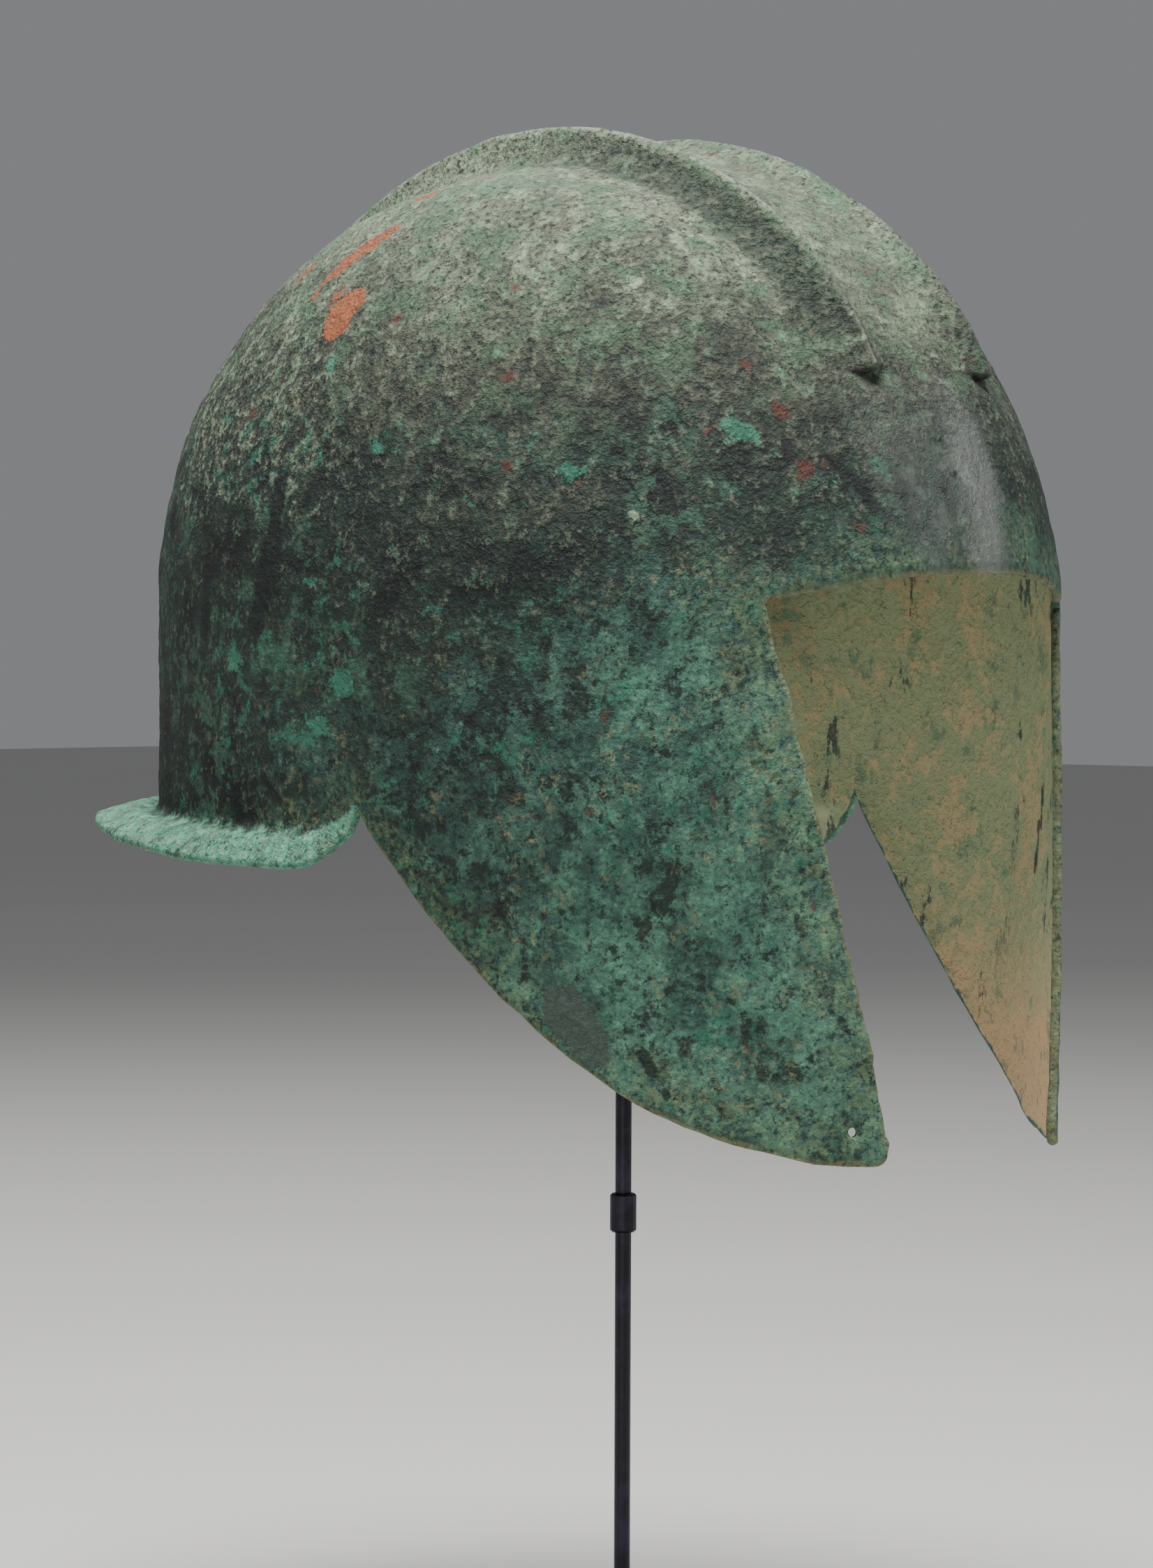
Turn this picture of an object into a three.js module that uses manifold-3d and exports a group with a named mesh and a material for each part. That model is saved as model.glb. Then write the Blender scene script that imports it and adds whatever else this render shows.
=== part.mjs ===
// An ancient bronze helmet of the open-faced Illyrian kind on a plain black display stand.
// Millimetres, +Z up. The helmet faces -Y, the wearer's left is +X, z = 0 is the base's underside.
import * as THREE from "three";
import { mergeVertices } from "three/addons/utils/BufferGeometryUtils.js";
import Module from "manifold-3d";

// Stand
const BASE_SIDE = 150;
const BASE_THICK = 12;
const BASE_CHAMFER = 1.5;
const BASE_CORNER = 4;
const ROD_RADIUS = 2.2;
const ROD_FORWARD = 5;
const ROD_SEAT = 8;
const ROD_SIDES = 16;
const BROW_HEIGHT = 300;
const COLLAR_DROP = 160.5;
const COLLAR_LENGTH = 10.5;
const COLLAR_WALL = 1.1;
const REST_RADIUS = 28;
const REST_THICK = 9;
const REST_CROWNING = 75;
const REST_SIDES = 32;
const REST_ARC_STEPS = 6;
const CROWN_FACET_SAG = 0.35;
const CLEARANCE = 0.3;

// Bowl
const HALF_WIDTH = 106;
const FRONT_REACH = 124.5;
const BACK_REACH = 135.5;
const CROWN_RISE = 125;
const PLAN_FULLNESS = 2.12;
const FULLNESS_RISE = 45;
const WALL = 1.5;
const RIM_WALL = 2.2;
const RIM_BAND = 9;

// Crest ridges, one on each side of a sunk channel, with a shallow valley outside each
const RIDGE_SIDE = 23;
const RIDGE_HEIGHT = 3;
const RIDGE_SPREAD = 2;
const RIDGE_SPREAD_CLIMB = 60;
const SPREAD_START_CLIMB = 10;
const CHANNEL_SINK = 5.5;
const VALLEY_SINK = 5;
const INNER_FLANK = 11.5;
const OUTER_FLANK = 10.5;
const VALLEY_WIDTH = 26;
const RIDGE_FRONT_CLIMB = 30;
const PROW_OVERHANG = 4;
const SCOOP_DEPTH = 3.5;
const SCOOP_HALF_WIDTH = 7;
const RELIEF_INSIDE = 0.85;

// Face opening and cheekpieces
const CORNER_SIDE = 64;
const CORNER_ROUND = 3;
const BROW_ARCH = 7;
const TIP_SIDE = 35;
const TIP_FORWARD = 118;
const TIP_DEPTH = 142;
const TIP_ROUND = 5;
const CHEEK_FLATTEN_DEPTH = 40;
const CHEEK_CURL = 4.2;
const CHEEK_LEAN = 6.5;
const LEAN_START_DEPTH = 40;
const LEAN_FULL_DEPTH = 115;
const LEAN_FULL_SHARE = 0.35;
const NOTCH_FORWARD = 3.3;
const NOTCH_DEPTH = 54;
const LOWER_EDGE_CURVE = 1.76;
const HOLE_RADIUS = 1.35;
const HOLE_FROM_TIP_SIDE = 9.5;
const HOLE_OVER_TIP = 8;
const HOLE_SIDES = 12;
const HOLE_PIN_LENGTH = 18;

// Neck guard
const NECK_ROOT_SIDE = 58;
const NECK_ROOT_BACK = 53;
const FLANGE_SIDE = 11.5;
const FLANGE_BACK = 22;
const FLANGE_DROOP_SIDE = 62;
const FLANGE_DROOP_BACK = 15;
const FLANGE_DROOP_SETTLED = 0.7;
const FLANGE_ROUND = 16;
const FLANGE_FIRST_BEND = 0.35;

// How the crest ridges stand along their run. climb: degrees over the crown from the brow, past 90 on
// the back. height: share of RIDGE_HEIGHT over the bowl's oval. sink: share of CHANNEL_SINK and VALLEY_SINK.
// scoop: share of SCOOP_DEPTH, the hollow under the prow. overhang: share of PROW_OVERHANG.
const RIDGE_RUN = [
  { climb: RIDGE_FRONT_CLIMB - 12, height: 0, sink: 0, scoop: 0, overhang: 0 },
  { climb: RIDGE_FRONT_CLIMB - 6, height: 0, sink: 0.3, scoop: 0.1, overhang: 0 },
  { climb: RIDGE_FRONT_CLIMB - 1.5, height: 0, sink: 0.65, scoop: 1, overhang: 0 },
  { climb: RIDGE_FRONT_CLIMB, height: 0.4, sink: 0.72, scoop: 0, overhang: 1 },
  { climb: RIDGE_FRONT_CLIMB + 7, height: 0.75, sink: 0.92, scoop: 0, overhang: 0.3 },
  { climb: 60, height: 0.6, sink: 1, scoop: 0, overhang: 0 },
  { climb: 95, height: 1.1, sink: 1, scoop: 0, overhang: 0 },
  { climb: 125, height: 0.5, sink: 0.8, scoop: 0, overhang: 0 },
  { climb: 160, height: 0.3, sink: 0.25, scoop: 0, overhang: 0 },
  { climb: 178, height: 0, sink: 0, scoop: 0, overhang: 0 },
];

// Rows of the bowl from the brow over the crown to the back: each stretch ends at climb degrees.
const BOWL_ROWS = [
  { climb: RIDGE_FRONT_CLIMB - 12, steps: 3 },
  { climb: RIDGE_FRONT_CLIMB - 1.5, steps: 3 },
  { climb: RIDGE_FRONT_CLIMB, steps: 1 },
  { climb: 60, steps: 5 },
  { climb: 120, steps: 8 },
  { climb: 180, steps: 8 },
];

// Columns of the bowl from the middle to the ear: each stretch ends side millimetres off the middle.
const BOWL_COLUMNS = [
  { side: RIDGE_SIDE - INNER_FLANK, steps: 2 },
  { side: RIDGE_SIDE, steps: 4 },
  { side: RIDGE_SIDE + OUTER_FLANK, steps: 4 },
  { side: CORNER_SIDE - CORNER_ROUND, steps: 3 },
  { side: CORNER_SIDE - CORNER_ROUND + TIP_ROUND, steps: 3 },
  { side: HALF_WIDTH - 1, steps: 6 },
  { side: HALF_WIDTH, steps: 3 },
];

// Rows of the walls below the brow, as shares of each column's depth, finer at the brow's corner.
const WALL_FINE_ROWS = [0, 0.008, 0.022];
const WALL_EVEN_ROWS = 11;
const FLANGE_ROWS = 4;

// Half the distance over which slopes are measured, and how near two points count as one.
const SLOPE_STEP = 0.5;
const SAME_POINT = 2e-3;
const SAME_CORNER = 1e-4;
const LENGTH_ROUNDS = 30;

const DEGREE = Math.PI / 180;
const QUARTER_TURN = 90 * DEGREE;
const clampShare = (share) => Math.min(1, Math.max(0, share));

function smoothShare(share) {
  const inside = clampShare(share);
  return inside * inside * (3 - 2 * inside);
}

// How far a quarter circle of this radius still lies under its top, at a distance from its start.
function roundDrop(distance, radius) {
  const share = clampShare(1 - distance / radius);
  return radius * (1 - Math.sqrt(1 - share * share));
}

// A value of a table's named column between its rows, smoothly.
function between(table, key, column, at) {
  if (at <= table[0][key]) return table[0][column];
  for (let i = 1; i < table.length; i++) {
    const from = table[i - 1];
    const to = table[i];
    if (at <= to[key]) {
      const share = smoothShare((at - from[key]) / (to[key] - from[key]));
      return THREE.MathUtils.lerp(from[column], to[column], share);
    }
  }
  return table[table.length - 1][column];
}

// Every stop along stretches that follow one another from nothing.
function stopsOf(stretches, endOf) {
  const stops = [0];
  for (const stretch of stretches) {
    const from = stops[stops.length - 1];
    const stride = (endOf(stretch) - from) / stretch.steps;
    for (let step = 1; step <= stretch.steps; step++) stops.push(from + stride * step);
  }
  return stops;
}

// Helmet space: side is to the wearer's left, forward to the face, rise over the brow's corners.
const toPart = (side, forward, rise) => new THREE.Vector3(side, -forward, BROW_HEIGHT + rise);

// The plan is half an oval to the front and half a longer one to the back. angle: 0 front, 180 back.
// The front is a little fuller than an ellipse at the brow, and less so higher up.
const reachOf = (angle) => (Math.cos(angle) >= 0 ? FRONT_REACH : BACK_REACH);
const angleOfSide = (side) => Math.asin(Math.min(1, side / HALF_WIDTH));

function fullReach(side) {
  return (1 - clampShare(side / HALF_WIDTH) ** PLAN_FULLNESS) ** (1 / PLAN_FULLNESS);
}

// Forward of the brow's corner the cheekpieces leave the oval and run on nearly straight along its
// tangent, with a slight curl inwards to their tips.
const CORNER_FORWARD = FRONT_REACH * fullReach(CORNER_SIDE);
const CORNER_BEFORE = fullReach(CORNER_SIDE - SLOPE_STEP);
const CORNER_AFTER = fullReach(CORNER_SIDE + SLOPE_STEP);
const CHEEK_SLOPE = (FRONT_REACH * (CORNER_BEFORE - CORNER_AFTER)) / (2 * SLOPE_STEP);

function wallForward(side, depth) {
  const round = FRONT_REACH * fullReach(side);
  if (side >= CORNER_SIDE) return round;
  const curl = CHEEK_CURL * ((CORNER_SIDE - side) / (CORNER_SIDE - TIP_SIDE)) ** 3;
  const straight = CORNER_FORWARD + (CORNER_SIDE - side) * CHEEK_SLOPE - curl;
  return THREE.MathUtils.lerp(round, straight, smoothShare(depth / CHEEK_FLATTEN_DEPTH));
}

// The bowl's wall below the brow. share: 0 at the cheekpiece's front edge, 1 at the ear.
function wallFrame(angle, depth, share = 1) {
  const side = HALF_WIDTH * Math.sin(angle);
  const reach = reachOf(angle);
  const front = Math.cos(angle) > 0;
  const forward = front ? wallForward(side, depth) : reach * Math.cos(angle);
  const outward = new THREE.Vector3(side / HALF_WIDTH ** 2, -forward / reach ** 2, 0).normalize();
  if (front && side < CORNER_SIDE) {
    const slope = wallForward(side + SLOPE_STEP, depth) - wallForward(side - SLOPE_STEP, depth);
    const lean = wallForward(side, depth + SLOPE_STEP) - wallForward(side, depth - SLOPE_STEP);
    const flat = new THREE.Vector3(-slope, -2 * SLOPE_STEP, lean).normalize();
    outward.lerp(flat, smoothShare(depth / CHEEK_FLATTEN_DEPTH)).normalize();
  }
  const deep = smoothShare((depth - LEAN_START_DEPTH) / (LEAN_FULL_DEPTH - LEAN_START_DEPTH));
  const point = toPart(side, forward, -depth);
  point.addScaledVector(outward, -CHEEK_LEAN * deep * smoothShare(share / LEAN_FULL_SHARE));
  return { point, outward };
}

// Edges of the sheet
const browRise = (side) => BROW_ARCH * (1 - clampShare(side / (CORNER_SIDE - CORNER_ROUND)) ** 2);

function frontEdgeSide(depth) {
  const straight = CORNER_SIDE - ((CORNER_SIDE - TIP_SIDE) * depth) / TIP_DEPTH;
  return straight - roundDrop(depth, CORNER_ROUND);
}

function lowerEdgeDepth(forward, fromFrontEdge) {
  const share = clampShare((TIP_FORWARD - forward) / (TIP_FORWARD - NOTCH_FORWARD));
  const curve = TIP_DEPTH - (TIP_DEPTH - NOTCH_DEPTH) * share ** LOWER_EDGE_CURVE;
  return curve - roundDrop(fromFrontEdge, TIP_ROUND);
}

// How far a place on the bowl's front lies from the brow's edge or its corner.
function fromBrow(side, rise) {
  const pastCorner = side - CORNER_SIDE + CORNER_ROUND;
  if (pastCorner < 0) return rise - browRise(side);
  return Math.hypot(pastCorner * Math.hypot(1, CHEEK_SLOPE), rise);
}

function wallThickness(fromEdge) {
  return THREE.MathUtils.lerp(RIM_WALL, WALL, smoothShare(fromEdge / RIM_BAND));
}

// One place on the sheet: its outer and inner point.
function sheetPlace(point, outward, fromEdge, relief = 0) {
  const outer = point.clone().addScaledVector(outward, relief);
  const inner = point.clone().addScaledVector(outward, relief * RELIEF_INSIDE - wallThickness(fromEdge));
  return { outer, inner };
}

// How far the ridges, channel and valleys stand over the bowl's oval, offCrest millimetres off a crest.
function reliefAt(offCrest, climb) {
  const height = RIDGE_HEIGHT * between(RIDGE_RUN, "climb", "height", climb);
  const sink = between(RIDGE_RUN, "climb", "sink", climb);
  const scoop = SCOOP_DEPTH * between(RIDGE_RUN, "climb", "scoop", climb);
  const scooped = scoop * clampShare(1 - Math.abs(offCrest) / SCOOP_HALF_WIDTH) ** 2;
  const flank = offCrest < 0 ? INNER_FLANK : OUTER_FLANK;
  const floor = offCrest < 0 ? CHANNEL_SINK * sink : VALLEY_SINK * sink;
  const onFlank = clampShare(1 - Math.abs(offCrest) / flank) ** 2;
  const fade = 1 - smoothShare((offCrest - OUTER_FLANK) / VALLEY_WIDTH);
  return height * onFlank - floor * (1 - onFlank) * fade - scooped;
}

// The ridges' lines stand a little further apart towards the front.
function spreadSide(station, climb) {
  const nearCrest = smoothShare(1 - Math.abs(station - RIDGE_SIDE) / RIDGE_SIDE);
  const nearFront = 1 - smoothShare(climb / RIDGE_SPREAD_CLIMB);
  return station + RIDGE_SPREAD * nearCrest * nearFront * smoothShare(climb / SPREAD_START_CLIMB);
}

// The lowest rows follow the arched brow, by a share that fades out over the first stretch.
function turnOf(side, across, climb) {
  const lift = clampShare(1 - climb / BOWL_ROWS[0].climb);
  return climb * DEGREE + lift * Math.asin(clampShare(browRise(side) / (CROWN_RISE * across)));
}

function bowlPlace(climb, angle) {
  const station = HALF_WIDTH * Math.sin(angle);
  const side = spreadSide(station, climb);
  const across = Math.cos(angleOfSide(side));
  const turn = turnOf(side, across, climb);
  const reach = reachOf(turn);
  const rise = CROWN_RISE * across * Math.sin(turn);
  const full = Math.cos(turn) > 0 ? smoothShare(1 - rise / FULLNESS_RISE) : 0;
  const forward = reach * THREE.MathUtils.lerp(across, fullReach(side), full) * Math.cos(turn);
  const point = toPart(side, forward, rise);
  const outward = new THREE.Vector3(side / HALF_WIDTH ** 2, -forward / reach ** 2, rise / CROWN_RISE ** 2);
  const crest = clampShare(1 - Math.abs(station - RIDGE_SIDE) / SCOOP_HALF_WIDTH);
  const slide = PROW_OVERHANG * crest * between(RIDGE_RUN, "climb", "overhang", climb);
  point.add(new THREE.Vector3(0, -Math.sin(turn), -Math.cos(turn)).multiplyScalar(slide));
  const fromEdge = turn < QUARTER_TURN ? fromBrow(side, rise) : RIM_BAND;
  return sheetPlace(point, outward.normalize(), fromEdge, reliefAt(station - RIDGE_SIDE, climb));
}

// A cheekpiece's columns lean forward with its front edge, and less towards the notch at the ear.
function cheekColumn(startAngle, shares) {
  const first = angleOfSide(frontEdgeSide(0));
  const toEar = (startAngle - first) / (QUARTER_TURN - first);
  const notchLean = Math.asin(NOTCH_FORWARD / FRONT_REACH);
  const angleAt = (depth) => {
    const frontLean = first - angleOfSide(frontEdgeSide(depth));
    return startAngle - (1 - toEar) * frontLean - (toEar * notchLean * depth) / NOTCH_DEPTH;
  };
  const fromFront = (depth) => Math.max(0, HALF_WIDTH * Math.sin(angleAt(depth)) - frontEdgeSide(depth));
  const alongWall = (depth) => fromFront(depth) * Math.hypot(1, CHEEK_SLOPE);
  let length = toEar >= 1 ? NOTCH_DEPTH : TIP_DEPTH;
  for (let round = 0; round < LENGTH_ROUNDS && toEar < 1; round++) {
    const frame = wallFrame(angleAt(length), length, toEar);
    length = lowerEdgeDepth(-frame.point.y, alongWall(length));
  }
  return shares.map((share) => {
    const depth = share * length;
    const { point, outward } = wallFrame(angleAt(depth), depth, toEar);
    return sheetPlace(point, outward, Math.min(alongWall(depth), length - depth));
  });
}

// Behind the notch the wall is bent out at the root into the neck guard.
function neckColumn(angle, shares) {
  const toBack = (angle - QUARTER_TURN) / QUARTER_TURN;
  const notchLean = Math.asin(NOTCH_FORWARD / FRONT_REACH) * (1 - toBack);
  const upright = 1 - clampShare(toBack / LEAN_FULL_SHARE);
  const fromNotch = (toBack * Math.PI * (HALF_WIDTH + BACK_REACH)) / 4;
  const settle = smoothShare(fromNotch / FLANGE_ROUND);
  const sideRoot = THREE.MathUtils.lerp(NOTCH_DEPTH, NECK_ROOT_SIDE, settle);
  const root = THREE.MathUtils.lerp(sideRoot, NECK_ROOT_BACK, smoothShare(toBack));
  const full = THREE.MathUtils.lerp(FLANGE_SIDE, FLANGE_BACK, toBack);
  const width = full * (1 - roundDrop(fromNotch, FLANGE_ROUND) / FLANGE_ROUND);
  const sideDroop = THREE.MathUtils.lerp(90, FLANGE_DROOP_SIDE, settle);
  const atBack = smoothShare(toBack / FLANGE_DROOP_SETTLED);
  const droop = THREE.MathUtils.lerp(sideDroop, FLANGE_DROOP_BACK, atBack) * DEGREE;
  const places = shares.map((share) => {
    const depth = share * root;
    const { point, outward } = wallFrame(angle - (notchLean * depth) / NOTCH_DEPTH, depth, upright);
    return sheetPlace(point, outward, root - depth + width);
  });
  const { point, outward } = wallFrame(angle - (notchLean * root) / NOTCH_DEPTH, root, upright);
  const up = new THREE.Vector3(0, 0, 1);
  for (let row = 1; row <= FLANGE_ROWS; row++) {
    const reach = (width * row) / FLANGE_ROWS;
    const bent = droop + (QUARTER_TURN - droop) * (row === 1 ? FLANGE_FIRST_BEND : 0);
    const place = point.clone().addScaledVector(outward, reach * Math.cos(bent));
    place.addScaledVector(up, -reach * Math.sin(bent));
    const face = outward.clone().multiplyScalar(Math.sin(bent)).addScaledVector(up, Math.cos(bent));
    places.push(sheetPlace(place, face, width - reach));
  }
  return places;
}

// The two triangles of every cell of a grid of points. A cell squeezed to a line is dropped later.
function addCells(rows, triangles, turned = false) {
  for (let i = 1; i < rows.length; i++) {
    for (let j = 1; j < rows[i].length; j++) {
      const [a, b] = [rows[i - 1][j - 1], rows[i - 1][j]];
      const [c, d] = [rows[i][j - 1], rows[i][j]];
      if (turned) triangles.push([a, b, c], [c, b, d]);
      else triangles.push([a, c, b], [c, d, b]);
    }
  }
}

function addSheet(places, triangles, turned) {
  addCells(places.map((row) => row.map((place) => place.outer)), triangles, turned);
  addCells(places.map((row) => row.map((place) => place.inner)), triangles, !turned);
}

function addRim(places, triangles) {
  addCells([places.map((place) => place.outer), places.map((place) => place.inner)], triangles);
}

const columnsToRows = (columns) => columns[0].map((_, i) => columns.map((column) => column[i]));

// The sheet's left half, closed but for the cut along the middle.
function halfSheet() {
  const climbs = stopsOf(BOWL_ROWS, (row) => row.climb);
  const angles = stopsOf(BOWL_COLUMNS, (column) => angleOfSide(column.side));
  const cornerAngle = angleOfSide(CORNER_SIDE - CORNER_ROUND - SAME_CORNER);
  const evenRows = Array.from({ length: WALL_EVEN_ROWS }, (_, i) => (i + 1) / WALL_EVEN_ROWS);
  const shares = [...WALL_FINE_ROWS, ...evenRows];
  const triangles = [];
  const bowl = climbs.map((climb) => angles.map((angle) => bowlPlace(climb, angle)));
  const cheek = angles.filter((angle) => angle >= cornerAngle).map((angle) => cheekColumn(angle, shares));
  const neck = angles.toReversed().map((angle) => neckColumn(Math.PI - angle, shares));
  addSheet(bowl, triangles, true);
  addSheet(columnsToRows(cheek), triangles, false);
  addSheet(columnsToRows(neck), triangles, false);
  addRim(bowl[0].slice(0, angles.length - cheek.length + 1), triangles);
  addRim(cheek[0], triangles);
  addRim(cheek.map((column) => column[column.length - 1]), triangles);
  addRim(neck.map((column) => column[column.length - 1]), triangles);
  return triangles;
}

// A geometry of points shared by their place, without the triangles that have no width.
function closedGeometry(triangles) {
  const corners = triangles.flat().flatMap((corner) => [corner.x, corner.y, corner.z]);
  const loose = new THREE.BufferGeometry();
  loose.setAttribute("position", new THREE.Float32BufferAttribute(corners, 3));
  const merged = mergeVertices(loose, SAME_POINT);
  const kept = [];
  for (let i = 0; i < merged.index.count; i += 3) {
    const [a, b, c] = [merged.index.getX(i), merged.index.getX(i + 1), merged.index.getX(i + 2)];
    if (a !== b && b !== c && c !== a) kept.push(a, b, c);
  }
  return merged.setIndex(kept);
}

const wasm = await Module();
wasm.setup();

function solidOf(geometry) {
  const bare = geometry.clone();
  bare.deleteAttribute("normal");
  bare.deleteAttribute("uv");
  const merged = mergeVertices(bare, SAME_CORNER);
  const vertProperties = merged.attributes.position.array;
  const triVerts = new Uint32Array(merged.index.array);
  return new wasm.Manifold(new wasm.Mesh({ numProp: 3, vertProperties, triVerts }));
}

function geometryOf(solid) {
  const mesh = solid.getMesh();
  const geometry = new THREE.BufferGeometry();
  geometry.setAttribute("position", new THREE.BufferAttribute(mesh.vertProperties, 3));
  return geometry.setIndex(new THREE.BufferAttribute(mesh.triVerts, 1));
}

// A plain pin along a direction, used for the holes.
function pin(radius, length, sides, centre, direction) {
  const turn = new THREE.Quaternion().setFromUnitVectors(new THREE.Vector3(0, 1, 0), direction);
  const geometry = new THREE.CylinderGeometry(radius, radius, length, sides);
  return geometry.applyQuaternion(turn).translate(centre.x, centre.y, centre.z);
}

function helmetGeometry() {
  const left = halfSheet();
  const mirrored = (corner) => new THREE.Vector3(-corner.x, corner.y, corner.z);
  const right = left.map(([a, b, c]) => [mirrored(a), mirrored(c), mirrored(b)]);
  let solid = solidOf(closedGeometry([...left, ...right]));
  const holeAngle = angleOfSide(TIP_SIDE + HOLE_FROM_TIP_SIDE);
  for (const hand of [-1, 1]) {
    const { point, outward } = wallFrame(holeAngle, TIP_DEPTH - HOLE_OVER_TIP, 0);
    point.x *= hand;
    outward.x *= hand;
    solid = solid.subtract(solidOf(pin(HOLE_RADIUS, HOLE_PIN_LENGTH, HOLE_SIDES, point, outward)));
  }
  return geometryOf(solid);
}

const UPRIGHT = new THREE.Vector3(0, 0, 1);
const ROD_FOOT = BASE_THICK - ROD_SEAT + CLEARANCE;
const CROWN_INSIDE = BROW_HEIGHT + CROWN_RISE - CHANNEL_SINK * RELIEF_INSIDE - WALL;
const REST_TOP = CROWN_INSIDE - CROWN_FACET_SAG - CLEARANCE;
const ROD_TOP = REST_TOP - REST_THICK / 2;

function baseGeometry() {
  const half = BASE_SIDE / 2 - BASE_CHAMFER;
  const turn = half - BASE_CORNER;
  const outline = new THREE.Shape();
  outline.absarc(turn, turn, BASE_CORNER, 0, 90 * DEGREE);
  outline.absarc(-turn, turn, BASE_CORNER, 90 * DEGREE, 180 * DEGREE);
  outline.absarc(-turn, -turn, BASE_CORNER, 180 * DEGREE, 270 * DEGREE);
  outline.absarc(turn, -turn, BASE_CORNER, 270 * DEGREE, 360 * DEGREE);
  const plate = new THREE.ExtrudeGeometry(outline, {
    depth: BASE_THICK - 2 * BASE_CHAMFER,
    bevelThickness: BASE_CHAMFER,
    bevelSize: BASE_CHAMFER,
    bevelSegments: 1,
    curveSegments: 6,
  });
  plate.translate(0, 0, BASE_CHAMFER);
  const seatCentre = new THREE.Vector3(0, -ROD_FORWARD, BASE_THICK);
  const seat = pin(ROD_RADIUS + CLEARANCE, 2 * ROD_SEAT, ROD_SIDES, seatCentre, UPRIGHT);
  return geometryOf(solidOf(plate).subtract(solidOf(seat)));
}

const rodGeometry = () => {
  const length = ROD_TOP - ROD_FOOT;
  const centre = new THREE.Vector3(0, -ROD_FORWARD, ROD_FOOT + length / 2);
  return pin(ROD_RADIUS, length, ROD_SIDES, centre, UPRIGHT);
};

// A turned piece around the rod's axis from a profile of radius and height pairs.
function turned(profile, sides) {
  const points = profile.map(([radius, height]) => new THREE.Vector2(radius, height));
  const geometry = new THREE.LatheGeometry(points, sides);
  return geometry.rotateX(QUARTER_TURN).translate(0, -ROD_FORWARD, 0);
}

function collarGeometry() {
  const bore = ROD_RADIUS + CLEARANCE;
  const outer = bore + COLLAR_WALL;
  const top = BROW_HEIGHT - COLLAR_DROP;
  const bottom = top - COLLAR_LENGTH;
  const edge = COLLAR_WALL / 2;
  return turned([
    [bore, bottom], [outer - edge, bottom], [outer, bottom + edge],
    [outer, top - edge], [outer - edge, top], [bore, top], [bore, bottom],
  ], ROD_SIDES);
}

// A crowned pad with a blind hole for the rod's end.
function restGeometry() {
  const bore = ROD_RADIUS + CLEARANCE;
  const bottom = REST_TOP - REST_THICK;
  const profile = [[0, ROD_TOP + CLEARANCE], [bore, ROD_TOP + CLEARANCE], [bore, bottom]];
  profile.push([REST_RADIUS, bottom]);
  for (let step = REST_ARC_STEPS; step >= 0; step--) {
    const radius = (REST_RADIUS * step) / REST_ARC_STEPS;
    profile.push([radius, REST_TOP - REST_CROWNING + Math.sqrt(REST_CROWNING ** 2 - radius ** 2)]);
  }
  return turned(profile, REST_SIDES);
}

function finish(color, roughness, metalness) {
  return new THREE.MeshStandardMaterial({ color, roughness, metalness });
}

const patinatedBronze = finish(0x6f7a66, 0.75, 0.35);
const blackMetal = finish(0x1b1a20, 0.4, 0.6);
const blackPaint = finish(0x151515, 0.6, 0);

function named(name, geometry, material) {
  const mesh = new THREE.Mesh(geometry, material);
  mesh.name = name;
  return mesh;
}

const stand = new THREE.Group();
stand.add(named("base", baseGeometry(), blackPaint));
stand.add(named("stand_rod", rodGeometry(), blackMetal));
stand.add(named("rod_collar", collarGeometry(), blackMetal));
stand.add(named("crown_rest", restGeometry(), blackMetal));

const group = new THREE.Group();
group.add(stand);
group.add(named("helmet", helmetGeometry(), patinatedBronze));

export default group;
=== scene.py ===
"""An ancient open-faced bronze helmet with two crest ridges on a thin black display stand.

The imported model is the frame: metres, +Z up, the helmet faces -Y and the wearer's left is +X.
The sheet is worked out in millimetres by the same rules as the solid that it stands for.
"""

import logging
import math
from dataclasses import dataclass, field
from enum import Enum
from functools import cached_property
from typing import Any, Callable, Sequence

import bmesh
import bpy
import numpy as np
from mathutils import Matrix, Vector


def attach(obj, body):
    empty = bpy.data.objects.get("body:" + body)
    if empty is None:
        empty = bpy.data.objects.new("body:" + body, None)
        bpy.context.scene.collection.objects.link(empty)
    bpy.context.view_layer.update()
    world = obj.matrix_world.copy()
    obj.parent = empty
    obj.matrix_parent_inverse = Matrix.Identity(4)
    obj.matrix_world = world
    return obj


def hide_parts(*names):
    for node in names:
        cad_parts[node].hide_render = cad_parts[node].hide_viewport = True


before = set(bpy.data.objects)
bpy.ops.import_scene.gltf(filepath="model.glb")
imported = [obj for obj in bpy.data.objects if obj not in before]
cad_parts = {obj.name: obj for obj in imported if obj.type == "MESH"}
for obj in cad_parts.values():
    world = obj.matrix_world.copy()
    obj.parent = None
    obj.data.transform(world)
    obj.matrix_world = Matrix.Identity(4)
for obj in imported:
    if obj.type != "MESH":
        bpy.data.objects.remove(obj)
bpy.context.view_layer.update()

LOG = logging.getLogger("helmet_scene")
BODY = "root"
MM = 0.001
DEGREE = math.pi / 180
QUARTER = 90 * DEGREE
TINY = 1e-6
WELD_MM = 4e-3

Array = np.ndarray
Colour = tuple[float, float, float]
Point = tuple[float, float, float]
Socket = bpy.types.NodeSocket


def smooth(share: Array | float) -> Array:
    """Return a share from 0 to 1 eased in and out.

    Args:
        share: Any number or array; what lies outside 0 to 1 is clamped.

    Returns:
        The eased share.
    """
    inside = np.clip(share, 0.0, 1.0)
    return inside * inside * (3.0 - 2.0 * inside)


def blend(start: Array | float, end: Array | float, share: Array | float) -> Array:
    """Return the value between two others at a share of the way."""
    return start + (end - start) * share


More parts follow.
